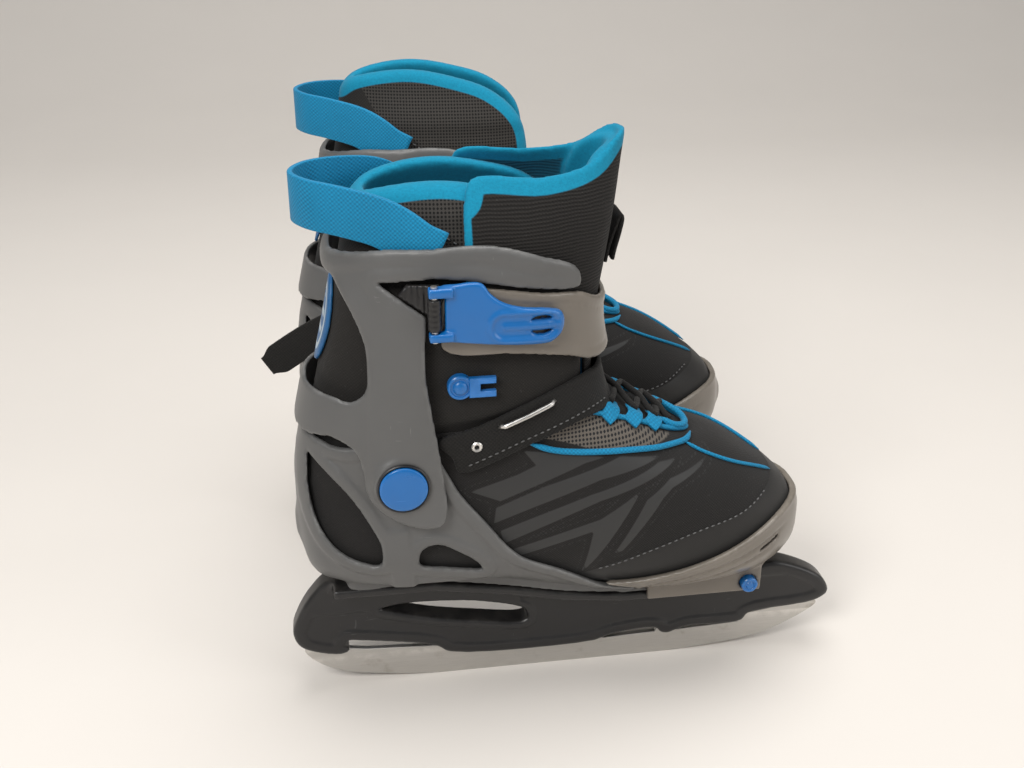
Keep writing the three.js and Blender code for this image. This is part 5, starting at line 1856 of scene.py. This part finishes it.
@dataclass
class Closure(Assembly):
    """Shin strap, buckle and instep strap."""

    pin_radius: float = 1.5
    half_width: float = 42.0
    thickness: float = 3.0
    hinge_foot: float = 7.55

    def _lift(self, y: np.ndarray) -> np.ndarray:
        """How far over the boot the shin strap lies: more over the cuff's ear."""
        turn = np.sign(y) * (np.abs(y) / self.half_width) ** 1.25
        return STRAP_LAYER[0] + STRAP_STEP * ease((turn + 0.15) / 0.75)

    def strap(self) -> tuple[Shape, Shape]:
        """The shin strap and its riveted end."""
        lattice, boot, (x, y, z) = self.sample((-58, -52, 186), (38, 54, 237), 1.0)
        lift = self._lift(y)
        edge = outline_distance(STRAP, x, z)
        groove = 0.45 * ease((0.9 - np.abs(edge + 5.0)) / 0.7) * ease((x + 40) / 10.0)
        band = meet(layer(boot, lift, lift + self.thickness - groove), edge, 1.0)
        strap = cut(band, np.maximum(x - STRAP_BEND - 2.0, -y), 0.3)
        end = np.maximum(np.maximum(band, x + 4.4), np.maximum(-20.0 - x, -y))
        side = abs(self.form.beside(-13, 216, 1, 0.0))
        face = side + 8.2 + self.thickness
        rivet = lathe(
            [(3.0, side + 5.8), (3.0, face), (4.6, face), (4.4, face + 0.8), (3.0, face + 1.4), (0.4, face + 1.6)],
            (-13, 0, 216), 1.0, 32,
        )
        return lattice.surface(strap), lattice.surface(end) + rivet

    def lever(self) -> Shape:
        """The buckle's lever with its oval ring and two finger recesses."""
        lattice, boot, (x, y, z) = self.sample((-66, -60, 202), (-1, -26, 239), 0.7)
        low, high = LEVER_LAYER
        edge = outline_distance(LEVER, x, z)
        slope = (z - 215.0) + 0.06 * (x + 20.0)
        oval = np.hypot(np.maximum(np.abs(x + 21.5) - 9.5, 0.0), slope) - 7.6
        ring = 0.7 * ease((1.6 - np.abs(oval + 1.0)) / 1.2)
        bar = np.maximum(np.abs(slope) - 1.5, np.abs(x + 19.0) - 13.0)
        pits = np.maximum(np.hypot((x + 14.5) / 1.35, slope) - 4.6, 2.4 - np.abs(slope))
        sunk = 0.5 * ease((-oval - 2.4) / 1.0)
        top = high - 1.0 + ring - sunk + 0.8 * ease((0.6 - bar) / 1.2)
        body = meet(layer(boot, low, top), edge, 1.0)
        body = cut(body, np.maximum(pits, high - 4.2 - boot), 0.3)
        pin = self._pin_side()
        for z0, z1 in ((231.0, 235.5), (211.0, 215.0)):
            ear = np.maximum(np.abs(x + 58.3) - 5.3, np.abs(z - (z0 + z1) / 2) - (z1 - z0) / 2)
            ear = meet(ear, np.abs(y - pin + 0.4) - 2.8, 1.0)
            body = join(body, ear, 1.2)
        body = np.maximum(np.maximum(body, y), low - boot)
        bore = np.hypot(x - BUCKLE_PIN[0], y - pin) - self.pin_radius - 0.3
        return lattice.surface(cut(body, bore + 0 * z))

    def _pin_side(self) -> float:
        """The y of the buckle's pin."""
        return -(abs(self.form.beside(*BUCKLE_PIN, -1, 0.0)) + LEVER_LAYER[0] + self.pin_radius + 1.6)

    def hinge(self) -> Shape:
        """The black barrel round the pin, on a thin plate on the strap."""
        lattice, boot, (x, y, z) = self.sample((-68, -60, 213), (-52, -36, 233), 0.55)
        pin = self._pin_side()
        radius = np.hypot(x - BUCKLE_PIN[0], y - pin)
        ribs = 0.25 * (0.5 + 0.5 * np.sin(FULL_TURN * z / 2.4))
        barrel = meet(radius - 3.0 + ribs, np.abs(z - 223.0) - 7.3, 0.5)
        low = self.hinge_foot
        plate = np.maximum(layer(boot, low, 8.0), np.maximum(np.abs(x + 59.0) - 4.2, np.abs(z - 223.0) - 6.0))
        foot = np.maximum(layer(boot, low, 10.5), np.maximum(np.abs(x + 61.2) - 2.4, np.abs(z - 223.0) - 7.0))
        body = join(join(barrel, foot, 0.8), plate, 0.3)
        body = np.maximum(body, low - boot)
        return lattice.surface(cut(body, radius - self.pin_radius - 0.25 + 0 * z))

    def instep(self, open_end: bool) -> Shape:
        """The hook-and-loop band over the instep, with its loose end when undone."""
        lattice, boot, (x, y, z) = self.sample((-64, -50, 138), (29, 50, 186), 1.0)
        edge = outline_distance(INSTEP, x, z)
        quilt = 0.25 * ease((1.0 - np.abs(edge + 3.2)) / 0.8)
        band = meet(layer(boot, 0.4, 0.4 + WEBBING - quilt), edge, 0.8)
        if not open_end:
            return lattice.surface(band)
        band = cut(band, np.maximum(np.abs(x + 52.0) - 18.0, -y), 0.3)
        side = LEG_HALF_WIDTH + 0.4 + WEBBING / 2
        clear = LEG_HALF_WIDTH + CUFF_LAYER[1] + 2.6 + 5.0
        path = [(-24, side - 0.6, 163), (-38, side + 3, 165), (-52, clear - 3, 167), (-78, clear, 163)]
        path += [(-110, clear - 3, 148), (-140, clear - 8, 127)]
        line = even_curve(path, 1.6)
        share = np.linspace(0, 1, len(line))
        narrowing = 1 - 0.35 * ease((share - 0.93) / 0.07)
        return lattice.surface(band) + sweep(line, level_normal(line), strip(18.0, WEBBING), narrowing)

    def wire(self) -> Shape:
        """The straight side of the steel loop that the band is pulled through."""
        path = [(-32.5, -36, 164), (-31, -36, 164.6), (-21, -32, 168.4), (-11, -28, 172.2), (-9.5, -27, 172.8)]
        line = even_curve(path, 1.0, 10)
        share = np.linspace(0, 1, len(line))
        sunk = 2.2 * (1 - np.minimum(ease(share * 11), ease((1 - share) * 11)))
        line = self.form.drape(line, 4.3 - sunk)
        return sweep(line, self.form.normal(line), circle(1.15, 12))

    def eyelet(self) -> Shape:
        """The small metal eyelet in the band."""
        seat = abs(self.form.beside(-43, 155, -1, 0.0)) + 0.4 + WEBBING
        rings = [(2.4, seat - 1.0), (2.6, seat + 0.3), (2.1, seat + 0.8), (1.2, seat + 0.5), (0.9, seat - 0.4)]
        return lathe([*rings, (0.2, seat - 0.5)], (-43, 0.0, 155), -1.0, 24)

    def build(self, placements: Iterable[Placement]) -> None:
        """Sets the strap, the buckle and the instep strap on each skate."""
        strap, end = self.strap()
        lever, hinge, wire, eyelet = self.lever(), self.hinge(), self.wire(), self.eyelet()
        for placement in placements:
            put = self.bench.put
            band = self.instep(placement.mirrored)
            put(placement, "shin_band", strap, WARM_GREY, "strap", ["shin_strap"])
            put(placement, "riveted_end", end, WARM_GREY, "cuff", ["strap_anchor"])
            put(placement, "lever", lever, BLUE, "lever", ["buckle_lever"])
            put(placement, "hinge_barrel", hinge, BLACK_PLASTIC, "strap", ["buckle_base"])
            put(placement, "instep_band", band, BLACK_WEBBING, "chassis", ["instep_strap"])
            put(placement, "wire_loop", wire, SMALL_STEEL, "chassis", ["strap_ring"])
            put(placement, "band_eyelet", eyelet, SMALL_STEEL, "chassis", sharp=50)
            edge = [(-46, -38, 146), (-17, -36, 157.5), (8, -28, 164), (20, -20, 165)]
            self.sew(placement, "band_stitches", [edge, [(x, -y, z) for x, y, z in edge][2:]], 3.0, "chassis")


# ---- Stage ----
@dataclass(frozen=True)
class Lamp:
    """A soft light that looks at the skates."""

    name: str
    place: tuple[float, float, float]
    size: float
    power: float
    colour: Colour = (1.0, 0.985, 0.965)


class Studio:
    """Floor, lights and camera."""

    LAMPS = (
        Lamp("ceiling", (0.1, 0.0, 1.6), 1.3, 18.0),
        Lamp("key", (-0.8, -1.1, 1.3), 0.7, 19.0),
        Lamp("fill", (1.4, -0.8, 0.7), 1.0, 7.0),
    )
    CAMERA_PLACE = (-0.07617, -0.61915, 0.42224)
    CAMERA_TURN = (64.695, 0.0, -5.989)
    LENS = 43.945
    SENSOR = 36.0
    AIM = (0.0, 0.0, 0.12)
    SURROUND = (0.98, 0.99, 1.0, 1.0)
    SURROUND_STRENGTH = 0.3

    def floor(self, bench: Bench) -> None:
        """A pale floor that curves up into a wall far behind."""
        wide, front, back, rise, radius = 14.0, -14.0, 2.2, 5.0, 1.2
        profile = [(front, 0.0), (back - radius, 0.0)]
        for angle in np.radians(np.arange(10, 91, 10)):
            profile.append((back - radius + radius * math.sin(angle), radius - radius * math.cos(angle)))
        profile.append((back, rise))
        points = [(x, y, z) for y, z in profile for x in (-wide, wide)]
        faces = [(2 * k, 2 * k + 1, 2 * k + 3, 2 * k + 2) for k in range(len(profile) - 1)]
        data = bpy.data.meshes.new("floor")
        data.from_pydata(points, [], faces)
        data.shade_smooth()
        floor = linked("floor", data)
        data.materials.append(bench.material(FLOOR))

    def lights(self) -> None:
        """Area lights and a plain grey surround."""
        for lamp in self.LAMPS:
            data = bpy.data.lights.new(lamp.name, "AREA")
            data.shape, data.size, data.energy, data.color = "DISK", lamp.size, lamp.power, lamp.colour
            made = linked(lamp.name, data)
            made.location = lamp.place
            made.rotation_euler = (Vector(self.AIM) - Vector(lamp.place)).to_track_quat("-Z", "Y").to_euler()
        world = bpy.data.worlds.new("surround")
        world.use_nodes = True
        colour, strength = world.node_tree.nodes["Background"].inputs[:2]
        colour.default_value, strength.default_value = self.SURROUND, self.SURROUND_STRENGTH
        bpy.context.scene.world = world
        bpy.context.scene.view_settings.view_transform = "Standard"

    def camera(self) -> None:
        """The camera."""
        data = bpy.data.cameras.new("camera")
        data.lens, data.sensor_width, data.clip_start = self.LENS, self.SENSOR, 0.01
        made = linked("camera", data)
        made.location = self.CAMERA_PLACE
        made.rotation_euler = [math.radians(a) for a in self.CAMERA_TURN]
        bpy.context.scene.camera = made

    def build(self, bench: Bench) -> None:
        """Sets up everything round the object."""
        self.floor(bench)
        self.lights()
        self.camera()


def finish_nodes(bench: Bench, nodes: dict[str, bpy.types.Object], placements: Iterable[Placement]) -> None:
    """Gives the CAD nodes that stay in view their materials and soft edges."""
    for placement in placements:
        for piece, finish in FINISH_OF_NODE.items():
            node = nodes[placement.name(piece)]
            node.data.materials.clear()
            node.data.materials.append(bench.material(finish))
            bevel = node.modifiers.new("soft_edges", "BEVEL")
            bevel.width, bevel.segments = 0.0003, 2
            LOG.info("%s: shown as drawn in CAD", node.name)


def main() -> None:
    """Builds the pair of skates and the studio round them."""
    logging.basicConfig(level=logging.INFO, format="%(name)s: %(message)s")
    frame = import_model()
    bench = Bench()
    shared = (BootForm(), bench, StitchRow())
    placements = [Placement(Side.RIGHT), Placement(Side.LEFT)]
    for kind in (Undercarriage, HeelFrame, SlidingToe, SoftBoot, Collar, Cuff, Closure):
        kind(*shared).build(placements)
    finish_nodes(bench, frame["nodes"], placements)
    Studio().build(bench)
    LOG.info("%d pieces", bench.count)


if __name__ == "__main__":
    main()
